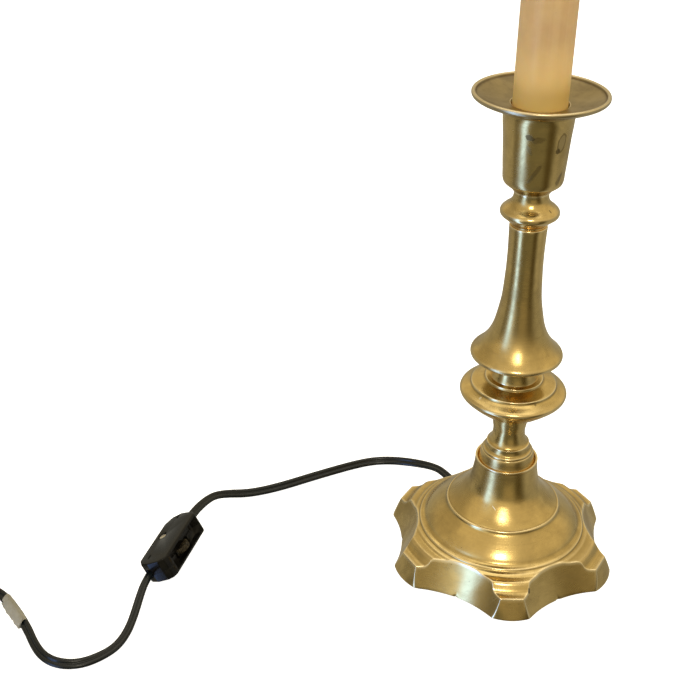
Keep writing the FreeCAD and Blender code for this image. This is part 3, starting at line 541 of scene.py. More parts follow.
def brass_material(name, gold, aged, spread=0.62, rough_low=0.17, rough_high=0.29,
                   spots=(), dull=0.0):
    """Old polished brass: turning marks, a mottled brown film, worn edges painted bright as a
    highlight.
    """
    n = Nodes(name)
    x, y, z = n.split(n.place)
    across = n.math("SQRT", n.math("ADD", n.math("MULTIPLY", x, x), n.math("MULTIPLY", y, y)))
    angle = n.math("ARCTAN2", y, x)
    rings = n.join(n.math("MULTIPLY", across, 1.0), n.math("MULTIPLY", z, 1.0),
                   n.math("MULTIPLY", angle, 0.0009))
    coarse = n.noise(900.0, 2.0, 0.6, rings)
    fine = n.noise(3600.0, 2.0, 0.7, rings)
    cloud = n.noise(36.0, 5.0, 0.62, twist=0.6)
    small = n.noise(210.0, 4.0, 0.6)
    grain = n.noise(1500.0, 3.0, 0.6)
    wear_and_highlight, grime = n.mark("wear_and_highlight"), n.mark("grime")
    film = n.math("ADD", n.math("MULTIPLY", cloud, 0.75), n.math("MULTIPLY", small, 0.25))
    film = n.step(film, 0.36, 0.68)
    film = n.math("MULTIPLY", film, spread)
    film = n.math("ADD", film, n.math("MULTIPLY", grime, 0.55))
    film = n.math("ADD", film, n.math("MULTIPLY", n.step(coarse, 0.5, 0.75), 0.10))
    film = n.math("SUBTRACT", film, n.math("MULTIPLY", wear_and_highlight, 0.6), clamp=True)
    color = n.mix(film, gold, aged)
    # Edges painted pale gold: partly worn polish, partly a painted highlight for the light the edges
    # catch.
    color = n.mix(n.math("MULTIPLY", wear_and_highlight, 0.8, clamp=True), color, (0.95, 0.82, 0.56))
    pits = n.math("SUBTRACT", 1.0, n.step(n.cells(430.0), 0.05, 0.13))
    pits = n.math("MULTIPLY", pits, n.step(n.noise(48.0, 2.0), 0.56, 0.66))
    color = n.mix(n.math("MULTIPLY", pits, 0.75), color, (0.13, 0.10, 0.05))
    total = None
    for spot in spots:
        offset = n.vector("SUBTRACT", n.place, spot["at"])
        along = n.vector("DOT_PRODUCT", offset, spot["along"])
        side = n.vector("DOT_PRODUCT", offset, spot["side"])
        deep = n.vector("DOT_PRODUCT", offset, spot["out"])
        p = n.math("DIVIDE", along, spot["long"])
        q = n.math("DIVIDE", side, spot["wide"])
        o = n.math("DIVIDE", deep, 0.006)
        far = n.math("SQRT", n.math("ADD", n.math("ADD", n.math("MULTIPLY", p, p),
                                                  n.math("MULTIPLY", q, q)),
                                    n.math("MULTIPLY", o, o)))
        ragged = n.math("ADD", far, n.math("MULTIPLY", n.math("SUBTRACT", n.noise(
            spot.get("grain", 420.0), 3.0, 0.6), 0.5), spot.get("ragged", 0.9)))
        mask = n.math("MULTIPLY", n.step(ragged, 1.0, spot.get("edge", 0.78)), spot["strength"])
        color = n.mix(mask, color, spot["tint"])
        total = mask if total is None else n.math("MAXIMUM", total, mask)
    rough = n.blend(n.step(cloud, 0.35, 0.7), rough_low, rough_high)
    rough = n.math("ADD", rough, n.math("MULTIPLY", n.math("SUBTRACT", fine, 0.5), 0.10))
    rough = n.math("ADD", rough, n.math("MULTIPLY", film, 0.08))
    rough = n.math("SUBTRACT", rough, n.math("MULTIPLY", wear_and_highlight, 0.06))
    if total is not None:
        rough = n.math("ADD", rough, n.math("MULTIPLY", total, 0.22))
    if dull:
        rough = n.math("ADD", rough, dull)
    height = n.math("ADD", n.math("MULTIPLY", coarse, 0.6), n.math("MULTIPLY", fine, 0.3))
    height = n.math("ADD", height, n.math("MULTIPLY", grain, 0.25))
    height = n.math("SUBTRACT", height, n.math("MULTIPLY", pits, 1.2))
    waves = n.bump(n.noise(70.0, 1.0), 0.0006, 0.25)
    return n.set(color=color, rough=n.math("MAXIMUM", rough, 0.12), metal=1.0,
                 normal=n.bump(height, 0.00006, 0.55, under=waves))


GOLD, AGED = (0.76, 0.56, 0.23), (0.38, 0.275, 0.11)


def spot(at, along, long, wide, tint, strength, **more):
    """A mark on the brass at a point in millimetres; along is its long direction."""
    out = Vector((at[0], at[1], 0.0)).normalized()
    run = Vector(along)
    run = (run - out * run.dot(out)).normalized()
    return dict(at=tuple(c * MM for c in at), along=tuple(run), side=tuple(out.cross(run)),
                out=tuple(out), long=long * MM, wide=wide * MM, tint=tint,
                strength=strength, **more)


DARK_MARK = (0.13, 0.095, 0.045)
BRASS = brass_material("aged_brass", GOLD, AGED, spots=[
    spot((8.42, -8.17, 211.7), (0, 0, 1), 0.7, 0.5, DARK_MARK, 0.7),
    spot((-18.61, -14.74, 108.7), (1, 0, 0), 0.7, 0.5, (0.95, 0.9, 0.75), 0.6),
    spot((8.94, -20.96, 109.3), (1, 0, 0), 0.8, 0.5, DARK_MARK, 0.6),
    spot((-7.26, -20.9, 41.6), (1, 0.3, -0.6), 1.6, 0.18, (0.95, 0.92, 0.85), 0.8, ragged=0.3),
    spot((10.3, -54.6, 13.4), (0, 0, 1), 1.5, 0.8, (0.17, 0.15, 0.10), 0.85, ragged=0.7),
    spot((-22.7, -50.9, 11.4), (0, 0, 1), 0.8, 0.5, DARK_MARK, 0.6)])
PAN_BRASS = brass_material("aged_brass_pan", (0.40, 0.31, 0.155), (0.20, 0.155, 0.09), 0.85,
                           0.30, 0.44)
BRASS_CUP = brass_material("aged_brass_cup", GOLD, AGED, spots=[
    spot((-5.6, -15.45, 251.3), (1, -0.2, -0.3), 2.6, 1.6, DARK_MARK, 0.72),
    spot((-1.6, -16.2, 250.4), (1, 0, 0.2), 3.4, 1.7, DARK_MARK, 0.42, ragged=1.2),
    spot((-5.4, -15.2, 245.2), (0.6, 0, -1), 3.0, 1.0, DARK_MARK, 0.38, ragged=1.3),
    spot((9.8, -12.95, 248.2), (0.12, 0, 1), 5.3, 2.9, (0.22, 0.155, 0.06), 0.75, ragged=0.5),
    spot((9.8, -12.95, 248.2), (0.12, 0, 1), 4.3, 2.1, (0.60, 0.46, 0.22), 0.8, ragged=0.5),
    spot((8.2, -13.71, 244.4), (0, 0, 1), 1.5, 1.4, DARK_MARK, 0.75),
    spot((-1.6, -14.9, 233.7), (-6.29, 1.39, -11.1), 6.8, 1.2, (0.20, 0.15, 0.07), 0.6),
    spot((10.97, -10.25, 230.1), (-1.67, -1.2, -6.1), 3.2, 0.22, (0.2, 0.15, 0.08), 0.7,
         ragged=0.3),
    spot((10.5, -10.7, 229.4), (-0.5, -0.3, -1), 4.0, 1.5, (0.20, 0.15, 0.08), 0.6, ragged=1.3),
    spot((12.16, -8.44, 226.6), (0, 0, 1), 1.0, 0.2, (0.2, 0.15, 0.08), 0.6, ragged=0.3)])

BORE = 5.1
BASE_TOP = [
    (15.8, 60.5), (15.8, 61.8), (16.1, 62.1), (16.9, 62.1), (17.06, 61.7), (16.9, 60.6),
    (17.0, 60.0), (17.2, 57.0), (17.6, 54.0), (18.1, 51.0), (18.8, 48.0), (19.8, 45.3),
    (21.1, 43.0), (22.8, 40.8), (24.7, 38.5), (26.7, 36.4), (28.8, 34.5), (30.3, 33.3),
    (30.8, 33.3), (31.3, 32.9), (31.6, 32.0), (32.2, 31.2), (33.6, 30.0), (36.0, 28.0),
    (38.2, 26.1), (40.3, 24.1), (42.0, 22.2), (42.6, 21.3), (43.3, 20.6),
    (44.4, 20.0), (45.3, 19.8), (45.9, 19.5), (46.2, 18.9), (46.8, 18.6), (48.2, 18.3),
    (49.0, 17.8), (50.0, 17.4), (51.4, 17.3), (52.9, 17.1), (54.0, 16.4), (55.0, 15.1),
    (56.0, 13.8), (57.2, 12.9), (58.8, 12.5), (60.7, 12.4), (67.0, 12.3)]
BASE_UNDER = [
    (50.0, 1.0), (49.5, 3.0), (44.5, 12.0), (41.0, 16.0), (36.0, 21.5), (31.5, 26.0),
    (26.5, 30.5), (22.0, 35.0), (18.5, 39.0), (15.6, 44.0), (13.8, 48.0), (12.5, 54.0),
    (BORE, 54.0), (BORE, 60.5), (15.8, 60.5)]
STEM = [
    (BORE, 60.5), (15.5, 60.5), (15.4, 61.6), (14.9, 62.6), (14.65, 64.5), (14.4, 66.0), (13.9, 67.2),
    (13.4, 67.4), (13.3, 68.2), (12.9, 68.6), (12.1, 69.2), (11.6, 70.4), (11.5, 71.6),
    (11.6, 72.4), (10.7, 72.9), (9.9, 74.0), (9.1, 76.0), (8.7, 78.5), (8.6, 81.0),
    (9.2, 84.5), (9.7, 88.5), (10.1, 90.4), (10.6, 91.3), (11.4, 92.0), (12.6, 93.3),
    (15.4, 93.7), (17.9, 95.0), (20.3, 97.0), (22.7, 99.0), (24.8, 101.0), (26.9, 103.0),
    (28.0, 104.4), (28.3, 105.4), (27.9, 106.4), (26.7, 107.3), (24.5, 108.3),
    (22.7, 109.4), (22.4, 110.6), (22.0, 110.8), (19.0, 111.8), (15.5, 112.9),
    (15.4, 113.4), (15.2, 114.1), (14.6, 114.3), (BORE, 114.3)]
COLUMN = [
    (BORE, 114.3), (12.6, 114.3), (12.3, 114.9), (12.0, 116.0), (11.8, 118.0), (11.7, 121.0),
    (12.1, 123.0), (13.0, 124.1), (16.6, 124.4), (17.0, 125.2), (18.0, 125.6), (22.8, 126.7),
    (23.9, 127.6), (24.1, 128.5), (23.7, 129.5), (22.6, 130.6), (20.9, 132.2),
    (18.9, 134.5), (17.0, 137.0), (15.3, 140.0), (14.0, 143.0), (13.0, 146.0),
    (12.3, 149.0), (11.6, 152.5), (10.95, 156.0), (10.3, 160.0), (9.85, 165.0),
    (9.6, 170.0), (9.35, 175.0), (9.2, 180.0), (9.15, 186.0), (9.25, 192.0), (9.4, 198.0),
    (9.5, 200.7), (9.3, 201.2), (BORE, 201.2)]
KNOP = [
    (BORE, 201.2), (8.8, 201.2), (9.2, 202.6), (10.0, 203.2), (11.0, 204.1), (12.0, 205.0),
    (13.2, 206.0), (14.4, 207.0), (14.7, 208.2), (14.5, 209.2), (13.9, 210.0),
    (12.8, 211.0), (11.7, 211.8), (11.2, 212.2), (10.2, 213.2), (9.1, 214.9),
    (8.65, 216.5), (8.6, 218.0), (8.8, 219.2), (BORE, 219.2)]
CUP = [
    (BORE, 219.2), (8.8, 219.2), (9.5, 219.6), (9.6, 220.1), (9.9, 220.6), (10.7, 221.1),
    (11.8, 222.0), (13.1, 223.0), (14.2, 224.0), (14.8, 226.0), (14.95, 229.0),
    (15.25, 233.0), (15.75, 241.0), (16.3, 249.0), (16.8, 254.0), (17.0, 257.5),
    (17.6, 260.0), (19.5, 261.5), (13.6, 261.5), (13.6, 229.5), (12.4, 229.5),
    (12.4, 227.0), (BORE, 227.0)]
PAN = [
    (13.7, 261.5), (19.5, 261.5), (31.6, 266.0), (32.2, 266.6), (32.35, 267.4),
    (32.1, 268.1), (31.3, 268.45), (30.5, 268.1), (30.25, 267.4), (30.1, 266.9),
    (28.0, 266.1), (20.0, 263.7), (14.6, 262.9), (13.7, 262.9)]


def arm_end(h, away):
    """The end of an arm: straight along its top edge, bowed out at the foot."""
    reach = 65.6 - 0.43 * (h - 1.0)
    share = min(1.0, max(0.0, (h - 1.0) / 11.4))
    bowed = 1.0 - 0.6 * away * away
    return reach * (share / math.cos(away) + (1.0 - share) * bowed)


def scallop(h):
    share = (h + 1.0) / 25.0
    return 114.35 + (97.45 - 114.35) * share, 57.38 + (53.22 - 57.38) * share


def corner_angle(h):
    """Where a scallop meets an arm's end, in radians from the scallop's middle."""
    c, rho = scallop(h)
    low, high = 0.05, math.radians(30.0)
    for _ in range(40):
        mid = (low + high) / 2
        inside = rho * rho - (c * math.sin(mid)) ** 2
        hollow = c * math.cos(mid) - math.sqrt(inside) if inside > 0 else 1e9
        if hollow < arm_end(h, math.radians(30.0) - mid):
            low = mid
        else:
            high = mid
    return low


CORNERS = [(h, corner_angle(h)) for h in np.linspace(0.0, 19.0, 39)]


def outline(delta, h):
    """The base's edge at an angle from a scallop's middle, at a height."""
    c, rho = scallop(h)
    flat = arm_end(h, math.radians(30.0) - delta)
    inside = rho * rho - (c * math.sin(delta)) ** 2
    if inside <= 0:
        return flat
    hollow = c * math.cos(delta) - math.sqrt(inside)
    soft = 0.12 + 0.2 * min(1.0, max(0.0, (9.0 - h) / 8.0))
    least = min(flat, hollow)
    return least - soft * math.log(math.exp(-(flat - least) / soft)
                                   + math.exp(-(hollow - least) / soft))


def ground(r, a):
    """The front arm sits a little to one side, beside a slightly deeper hollow."""
    near = ease(r, 44.0, 54.0)
    away = (math.degrees(a) + 180.0) % 360.0 - 180.0
    less = 1.0 - 0.015 * near * math.exp(-((away + 113.0) / 13.0) ** 2)
    return r * less, a + math.radians(1.4) * near * math.exp(-((away + 97.0) / 12.0) ** 2)


def base_mesh():
    top, bend = soft_line(BASE_TOP, least=0.14)
    dense = np.concatenate([[0.0], np.cumsum(np.linalg.norm(np.diff(top, axis=0), axis=1))])
    heights = np.array([h for h, _ in CORNERS])
    corners = np.array([a for _, a in CORNERS])

    def column_angle(kind, share, h):
        a = float(np.interp(h, heights, corners))
        return share * a if kind == 0 else a + share * (math.radians(30.0) - a)

    shares = [(0, s) for s in np.linspace(0.0, 0.93, 34)]
    shares += [(0, s) for s in (0.955, 0.972, 0.983, 0.991, 0.996, 1.0)]
    shares += [(1, s) for s in (0.012, 0.028, 0.055, 0.1, 0.2, 0.35, 0.5, 0.65, 0.8, 1.0)]
    half = []
    fine_t = np.arange(0.0, dense[-1], 0.08)
    fine_r, fine_z = np.interp(fine_t, dense, top[:, 0]), np.interp(fine_t, dense, top[:, 1])
    round_by = 0.42
    for kind, share in shares:
        clip = dense[-1]
        before = None
        for t, r, z in zip(fine_t, fine_r, fine_z):
            if r < 43.0:
                continue
            gap = r - outline(column_angle(kind, share, z), z)
            if gap >= 0:
                if before is None:
                    clip = t
                else:
                    clip = before[0] + (t - before[0]) * (-before[1]) / (gap - before[1])
                break
            before = (t, gap)
        edge_z = float(np.interp(clip, dense, top[:, 1]))
        edge_r = float(np.interp(clip, dense, top[:, 0]))
        # Each row holds radius, height, angle, worn polish with a painted edge highlight, and grime.
        rows = []
        for t, b in zip(dense, bend):
            s = min(t, clip - round_by)
            r, z = float(np.interp(s, dense, top[:, 0])), float(np.interp(s, dense, top[:, 1]))
            rows.append((r, z, column_angle(kind, share, min(z, 19.0)),
                         max(min(-b * 0.55, 1.0), math.exp(-((clip - s) / 0.8) ** 2) * 0.9),
                         max(0.0, min(b * 0.9, 1.0)) if t < clip else 0.0))
        start = np.array([float(np.interp(clip - round_by, dense, top[:, 0])),
                          float(np.interp(clip - round_by, dense, top[:, 1]))])
        h2 = edge_z - round_by * 0.95
        end = np.array([outline(column_angle(kind, share, h2), h2), h2])
        apex = np.array([edge_r, edge_z])
        # The rounded top edge is marked almost fully: worn polish and a painted highlight.
        for f in (0.25, 0.5, 0.75, 1.0):
            p = start * (1 - f) ** 2 + apex * 2 * f * (1 - f) + end * f * f
            rows.append((p[0], p[1], column_angle(kind, share, min(p[1], 19.0)), 0.95, 0.0))
        # Down the wall, rows near the top edge and the arm corners carry worn polish and the painted
        # edge highlight.
        for k in range(1, 13):
            h = h2 + (1.45 - h2) * k / 12
            a = column_angle(kind, share, min(h, 19.0))
            r = outline(a, h)
            gap = abs(a - float(np.interp(h, heights, corners))) * r
            rows.append((r, h, a, max(math.exp(-((h2 - h) / 0.7) ** 2),
                                      math.exp(-(gap / 0.55) ** 2)) * 0.9, 0.0))
        a = column_angle(kind, share, 1.2)
        foot = outline(a, 1.2)
        rows.append((foot - 0.05, 1.18, a, 0.5, 0.0))
        rows.append((foot - 0.42, 1.0, a, 0.2, 0.0))
        for r, z in BASE_UNDER[:-1]:
            rows.append((r, z, column_angle(kind, share, min(z, 19.0)), 0.0, 0.3))
        half.append(rows)
    # Mirror each half and repeat six times, each middle once.
    ordered = []
    for k in range(6):
        middle = math.radians(60.0 * k)
        left = [[(r, z, middle - a, w, g) for r, z, a, w, g in rows] for rows in half[::-1]]
        right_side = [[(r, z, middle + a, w, g) for r, z, a, w, g in rows] for rows in half]
        ordered += left[1:] + right_side[1:]
    count = len(ordered)
    rows = len(ordered[0])
    verts, wear_and_highlight, grime = [], [], []
    for i in range(rows):
        for col in ordered:
            r, z, a, w, g = col[i]
            r, a = ground(r, a)
            verts.append((r * math.cos(a), r * math.sin(a), z))
            wear_and_highlight.append(w)
            grime.append(g)
    faces = grid_faces(rows, count, wrap_rows=True)
    return verts, faces, {"wear_and_highlight": wear_and_highlight, "grime": grime}


verts, faces, marks = base_mesh()
base = solid("base_casting_cast", verts, faces, BRASS, "lamp", ["base_casting"],
             marks=marks, merge=0.006)
print("base", len(base.data.vertices), "vertices")
turned("lower_stem_turned", STEM, BRASS, "lamp", "aged_brass", ["lower_stem"])
turned("trumpet_column_turned", COLUMN, BRASS, "lamp", "aged_brass", ["trumpet_column"])
turned("upper_knop_turned", KNOP, BRASS, "lamp", "aged_brass", ["upper_knop"])
turned("candle_cup_turned", CUP, BRASS_CUP, "lamp", "aged_brass", ["candle_cup"])
turned("drip_pan_turned", PAN, PAN_BRASS, "lamp", "aged_brass", ["drip_pan"])


# ---- candle ---------------------------------------------------------------

def candle_material():
    n = Nodes("candle_cream")
    x, y, z = n.split(n.place)
    streak = n.noise(1.0, 3.0, 0.55, n.join(n.math("MULTIPLY", x, 240.0),
                                            n.math("MULTIPLY", y, 240.0),
                                            n.math("MULTIPLY", z, 9.0)))
    cloud = n.noise(60.0, 4.0, 0.55)
    # Painted light: the candle's foot, just above the pan, is painted a brighter orange for the light
    # the brass pan reflects onto it.
    low = n.step(z, 0.300, 0.262)
    color = n.mix(n.step(cloud, 0.35, 0.7), (0.445, 0.285, 0.125), (0.505, 0.335, 0.15))
    color = n.mix(n.math("MULTIPLY", n.step(streak, 0.42, 0.66), 0.35), color,
                  (0.55, 0.385, 0.19))
    # The painted reflected glow from the pan is laid onto the candle's foot here.
    color = n.mix(n.math("MULTIPLY", low, 0.88), color, (0.98, 0.66, 0.24))
    specks = n.math("SUBTRACT", 1.0, n.step(n.cells(150.0), 0.035, 0.07))
    specks = n.math("MULTIPLY", specks, n.step(n.noise(45.0, 1.0), 0.52, 0.6))
    color = n.mix(n.math("MULTIPLY", specks, 0.4), color, (0.24, 0.15, 0.07))
    fine = n.noise(700.0, 3.0, 0.6)
    height = n.math("ADD", n.math("MULTIPLY", streak, 1.0), n.math("MULTIPLY", fine, 0.35))
    return n.set(color=color, rough=n.math("ADD", n.math("MULTIPLY", streak, 0.16), 0.30),
                 subsurface=0.35, radius=(1.0, 0.45, 0.15), sub_scale=0.004, specular=0.42,
                 normal=n.bump(height, 0.00025, 0.35))


CANDLE = candle_material()
candle = turned("candle_sleeve_wax", [
    (11.8, 229.5), (13.0, 229.5), (13.05, 240.0), (13.0, 262.0), (12.98, 300.0), (13.0, 340.0),
    (13.0, 368.9), (12.7, 369.8), (12.3, 370.0), (11.9, 369.6), (11.8, 368.5)],
    CANDLE, "candle_sleeve", "candle_cream", ["candle_sleeve"], around=128, spread=3.0)


# ---- simple finishes ------------------------------------------------------

def metal(name, light, dark, low, high, scale=140.0, lines=0.0):
    n = Nodes(name)
    cloud, fine = n.noise(scale, 4.0, 0.6), n.noise(scale * 9, 3.0, 0.6)
    color = n.mix(n.step(cloud, 0.35, 0.7), light, dark)
    rough = n.blend(n.step(fine, 0.3, 0.7), low, high)
    return n.set(color=color, rough=rough, metal=1.0,
                 normal=n.bump(n.math("ADD", fine, cloud), 0.00005, 0.4))


def plastic(name, light, dark, low, high, scale=160.0, bump=0.00005, specular=0.5):
    n = Nodes(name)
    cloud, fine = n.noise(scale, 4.0, 0.6), n.noise(scale * 9, 4.0, 0.65)
    color = n.mix(n.step(cloud, 0.35, 0.7), light, dark)
    rough = n.blend(n.step(cloud, 0.3, 0.7), low, high)
    return n.set(color=color, rough=rough, specular=specular,
                 normal=n.bump(n.math("ADD", n.math("MULTIPLY", fine, 0.7), cloud), bump, 0.5))


def felt_material():
    n = Nodes("red_felt")
    cloud, fine = n.noise(90.0, 4.0, 0.6), n.noise(2600.0, 5.0, 0.75, twist=1.2)
    color = n.mix(n.step(cloud, 0.3, 0.7), (0.050, 0.008, 0.007), (0.085, 0.013, 0.010))
    color = n.mix(n.math("MULTIPLY", n.step(fine, 0.55, 0.8), 0.4), color, (0.15, 0.04, 0.032))
    return n.set(color=color, rough=0.95, sheen=0.4, sheen_rough=0.5,
                 normal=n.bump(fine, 0.0004, 0.7))


def paper_material():
    n = Nodes("tag_paper")
    cloud, fibre = n.noise(120.0, 4.0, 0.6), n.noise(1800.0, 5.0, 0.7, twist=0.8)
    crease = n.noise(260.0, 3.0, 0.55, twist=1.5)
    color = n.mix(n.step(cloud, 0.3, 0.72), (0.33, 0.315, 0.265), (0.25, 0.235, 0.19))
    color = n.mix(n.math("MULTIPLY", n.step(crease, 0.55, 0.75), 0.45), color,
                  (0.18, 0.16, 0.12))
    height = n.math("ADD", n.math("MULTIPLY", crease, 1.5), n.math("MULTIPLY", fibre, 0.5))
    return n.set(color=color, rough=0.62, specular=0.35, normal=n.bump(height, 0.00035, 0.6))


def switch_material(name, light, dark, low, high, scuff=0.5):
    """Old moulded plastic: glossy where it is untouched, scuffed and dusty in patches."""
    n = Nodes(name)
    cloud = n.noise(150.0, 5.0, 0.65)
    fine = n.noise(1400.0, 4.0, 0.7)
    dust = n.step(n.noise(420.0, 6.0, 0.7), 0.5, 0.72)
    color = n.mix(n.step(cloud, 0.35, 0.7), dark, light)
    color = n.mix(n.math("MULTIPLY", dust, 0.3 * scuff), color, (0.16, 0.145, 0.11))
    rough = n.blend(n.step(cloud, 0.3, 0.7), low, high)
    rough = n.math("ADD", rough, n.math("MULTIPLY", dust, 0.10 * scuff))
    return n.set(color=color, rough=rough, specular=0.26,
                 normal=n.bump(n.math("ADD", n.math("MULTIPLY", fine, 0.5), cloud), 0.00009, 0.5))


FELT = felt_material()
PAPER = paper_material()
SWITCH_BLACK = switch_material("switch_black", (0.0045, 0.0042, 0.0036), (0.0022, 0.002, 0.0018),
                               0.10, 0.20, scuff=0.06)
WHEEL_BLACK = switch_material("wheel_black", (0.11, 0.088, 0.05), (0.016, 0.013, 0.009),
                              0.16, 0.30, scuff=0.4)
BUSH_BLACK = plastic("black_bush", (0.018, 0.018, 0.018), (0.03, 0.03, 0.028), 0.5, 0.65)
PLUG_BLACK = plastic("plug_black", (0.016, 0.017, 0.017), (0.028, 0.029, 0.028), 0.3, 0.46,
                     bump=0.00008)
TIE_BLACK = plastic("tie_black", (0.02, 0.02, 0.021), (0.035, 0.035, 0.036), 0.35, 0.5, 300.0)
LEAD_PVC = plastic("lead_pvc", (0.05, 0.05, 0.05), (0.03, 0.03, 0.03), 0.4, 0.5)
PHENOLIC = plastic("phenolic", (0.045, 0.03, 0.02), (0.03, 0.02, 0.014), 0.3, 0.45)
FIBRE = plastic("fibre", (0.17, 0.12, 0.07), (0.12, 0.085, 0.05), 0.7, 0.85)
ZINC = metal("zinc_steel", (0.62, 0.62, 0.60), (0.45, 0.45, 0.43), 0.28, 0.42)
CONTACT = metal("contact_brass", (0.80, 0.62, 0.32), (0.60, 0.45, 0.22), 0.22, 0.36)
NICKEL = metal("nickel", (0.80, 0.77, 0.70), (0.55, 0.50, 0.42), 0.18, 0.34, 500.0)
BLADE = metal("blade_brass", (0.82, 0.66, 0.38), (0.66, 0.52, 0.28), 0.20, 0.34)
SOLDER = metal("bulb_solder", (0.55, 0.55, 0.55), (0.38, 0.38, 0.38), 0.32, 0.5)
FILAMENT = metal("filament", (0.32, 0.30, 0.28), (0.22, 0.21, 0.20), 0.4, 0.55)


def glass_material(name, rough):
    n = Nodes(name)
    film = n.noise(90.0, 3.0)
    return n.set(color=(1.0, 0.995, 0.98), rough=n.math("MULTIPLY", film, rough), glass=1.0,
                 ior=1.47)


CLEAR = glass_material("clear_glass", 0.02)
STEM_GLASS = glass_material("stem_glass", 0.06)


def paint(material, *names):
    for label in names:
        thing = nodes[label]
        thing.data.materials.clear()
        thing.data.materials.append(material)


verts = []
for kind, z in ((0, 0.02), (1, 0.02), (1, 0.98), (0, 0.98)):
    for k in range(720):
        a = math.radians(k / 2)
        edge = outline(math.radians(abs((k / 2 + 30.0) % 60.0 - 30.0)), 1.0) - 1.7
        r, a = ground(edge, a) if kind else (0.02, a)
        verts.append((r * math.cos(a), r * math.sin(a), z))
solid("base_felt_cut", verts, grid_faces(4, 720, wrap_rows=True), FELT, "lamp",
      ["base_felt"], sharp=50.0)
paint(BUSH_BLACK, "cord_bushing")
paint(ZINC, "lamp_pipe", "base_nut", "cup_nut", "base_washer", "cup_washer", "socket_bracket")
paint(DARK_PVC, "inner_cord")
paint(LEAD_PVC, "lead_hot", "lead_neutral")
paint(PHENOLIC, "socket_body")
paint(CONTACT, "screw_shell", "centre_contact", "terminal_screws", "switch_contacts",
      "switch_axle")
paint(FIBRE, "socket_liner")
paint(STEM_GLASS, "bulb_stem")
paint(SOLDER, "bulb_contact")
paint(FILAMENT, "bulb_filament")
paint(BLADE, "plug_blade_narrow", "plug_blade_wide")

# ---- bulb -------------------------------------------------------------------

turned("bulb_glass_blown", [
    (0.0, 448.5), (2.6, 446.0), (6.0, 440.0), (9.8, 431.0), (13.2, 421.0), (15.6, 411.0),
    (16.5, 402.0), (16.0, 394.0), (14.0, 386.0), (11.0, 379.0), (8.0, 372.0), (6.2, 366.0),
    (5.3, 361.0), (5.3, 352.0), (4.7, 352.0), (4.7, 361.1), (5.6, 366.2), (7.4, 372.3),
    (10.4, 379.3), (13.4, 386.3), (15.4, 394.1), (15.9, 402.0), (15.0, 410.9), (12.6, 420.8),
    (9.2, 430.7), (5.5, 439.7), (2.2, 445.4), (0.0, 447.7)],
    CLEAR, "bulb", "clear_glass", ["bulb_glass"], around=96, ends=True, least=0.1, spread=2.5)


def thread(r, z, angle):
    """The screw thread rolled into the bulb's cap."""
    if r < 4.6 or z > 360.6 or z < 347.4:
        return r
    edge = min(1.0, (360.6 - z) / 1.2, (z - 347.4) / 1.2)
    return r - 0.42 * edge * (0.5 - 0.5 * math.cos(2 * math.pi * (z - 347.4) / 2.6 - angle))


turned("bulb_cap_rolled", [
    (2.6, 344.6), (4.2, 344.6), (5.95, 346.5)]
    + [(5.95, 347.0 + 0.35 * k) for k in range(1, 41)] + [
    (5.95, 362.0), (5.5, 362.0)] + [(5.5, 362.0 - 0.35 * k) for k in range(1, 42)] + [
    (5.5, 346.9), (4.0, 345.2), (2.6, 345.2)],
    CONTACT, "bulb", "contact_brass", ["bulb_cap"], around=72, warp=thread, least=0.08,
    spread=0.4)

# ---- switch ----------------------------------------------------------------

SWITCH_AT = Vector((-184.51, -20.43, 10.35))
SWITCH_X = Vector((0.8497, -0.2274, 0.4756))
SWITCH_Y = Vector((0.2585, 0.9660, 0.0))
SWITCH_Z = Vector((-0.4594, 0.1229, 0.8796))
SWITCH = [
    (-9.3, -18.5), (-7.0, -21.8), (-2.0, -23.3), (5.0, -23.3), (8.0, -22.0), (9.3, -19.5),
    (9.3, 18.8), (7.0, 21.2), (-1.0, 22.6), (-6.5, 20.2), (-9.3, 14.5)]
CAVITY = [
    (-7.7, -16.0), (-5.5, -19.0), (3.0, -19.0), (4.45, -17.0), (4.45, 17.0), (2.0, 19.0),
    (-4.5, 18.5), (-7.7, 13.0)]
RECESS = [
    (5.4, -14.5), (9.9, -17.6), (12.0, -17.6), (12.0, 18.0), (9.9, 18.0), (5.4, 15.0)]


def in_switch(x, y, z):
    return SWITCH_AT + SWITCH_X * x + SWITCH_Y * y + SWITCH_Z * z


def rounded(points, radius, steps=5):
    """A polygon with its corners drawn round."""
    found = []
    count = len(points)
    for i in range(count):
        here = np.array(points[i], float)
        before, after = np.array(points[i - 1], float), np.array(points[(i + 1) % count], float)
        u, v = before - here, after - here
        lu, lv = np.linalg.norm(u), np.linalg.norm(v)
        turn = math.pi - math.acos(max(-1.0, min(1.0, float(u @ v) / (lu * lv))))
        reach = min(radius * math.tan(turn / 2), 0.46 * lu, 0.46 * lv)
        a, b = here + u / lu * reach, here + v / lv * reach
        for k in range(steps + 1):
            t = k / steps
            found.append(tuple(a * (1 - t) ** 2 + here * 2 * t * (1 - t) + b * t * t))
    return found


def drawn_in(points, inset):
    """The polygon moved inwards."""
    p = np.array(points, float)
    run = np.roll(p, -1, 0) - np.roll(p, 1, 0)
    run /= np.linalg.norm(run, axis=1)[:, None]
    area = (p[:, 0] * np.roll(p[:, 1], -1) - np.roll(p[:, 0], -1) * p[:, 1]).sum()
    inward = np.stack([-run[:, 1], run[:, 0]], 1) * (1 if area > 0 else -1)
    return p + inward * inset


def stack(points, rows, place=in_switch):
    """Points and faces of a solid: the polygon at each (height, inset), capped."""
    verts = []
    for height, inset in rows:
        verts += [place(x, y, height) for x, y in drawn_in(points, inset)]
    size = len(points)
    faces = grid_faces(len(rows), size)
    faces.append(tuple(range(size - 1, -1, -1)))
    faces.append(tuple((len(rows) - 1) * size + k for k in range(size)))
    return verts, faces


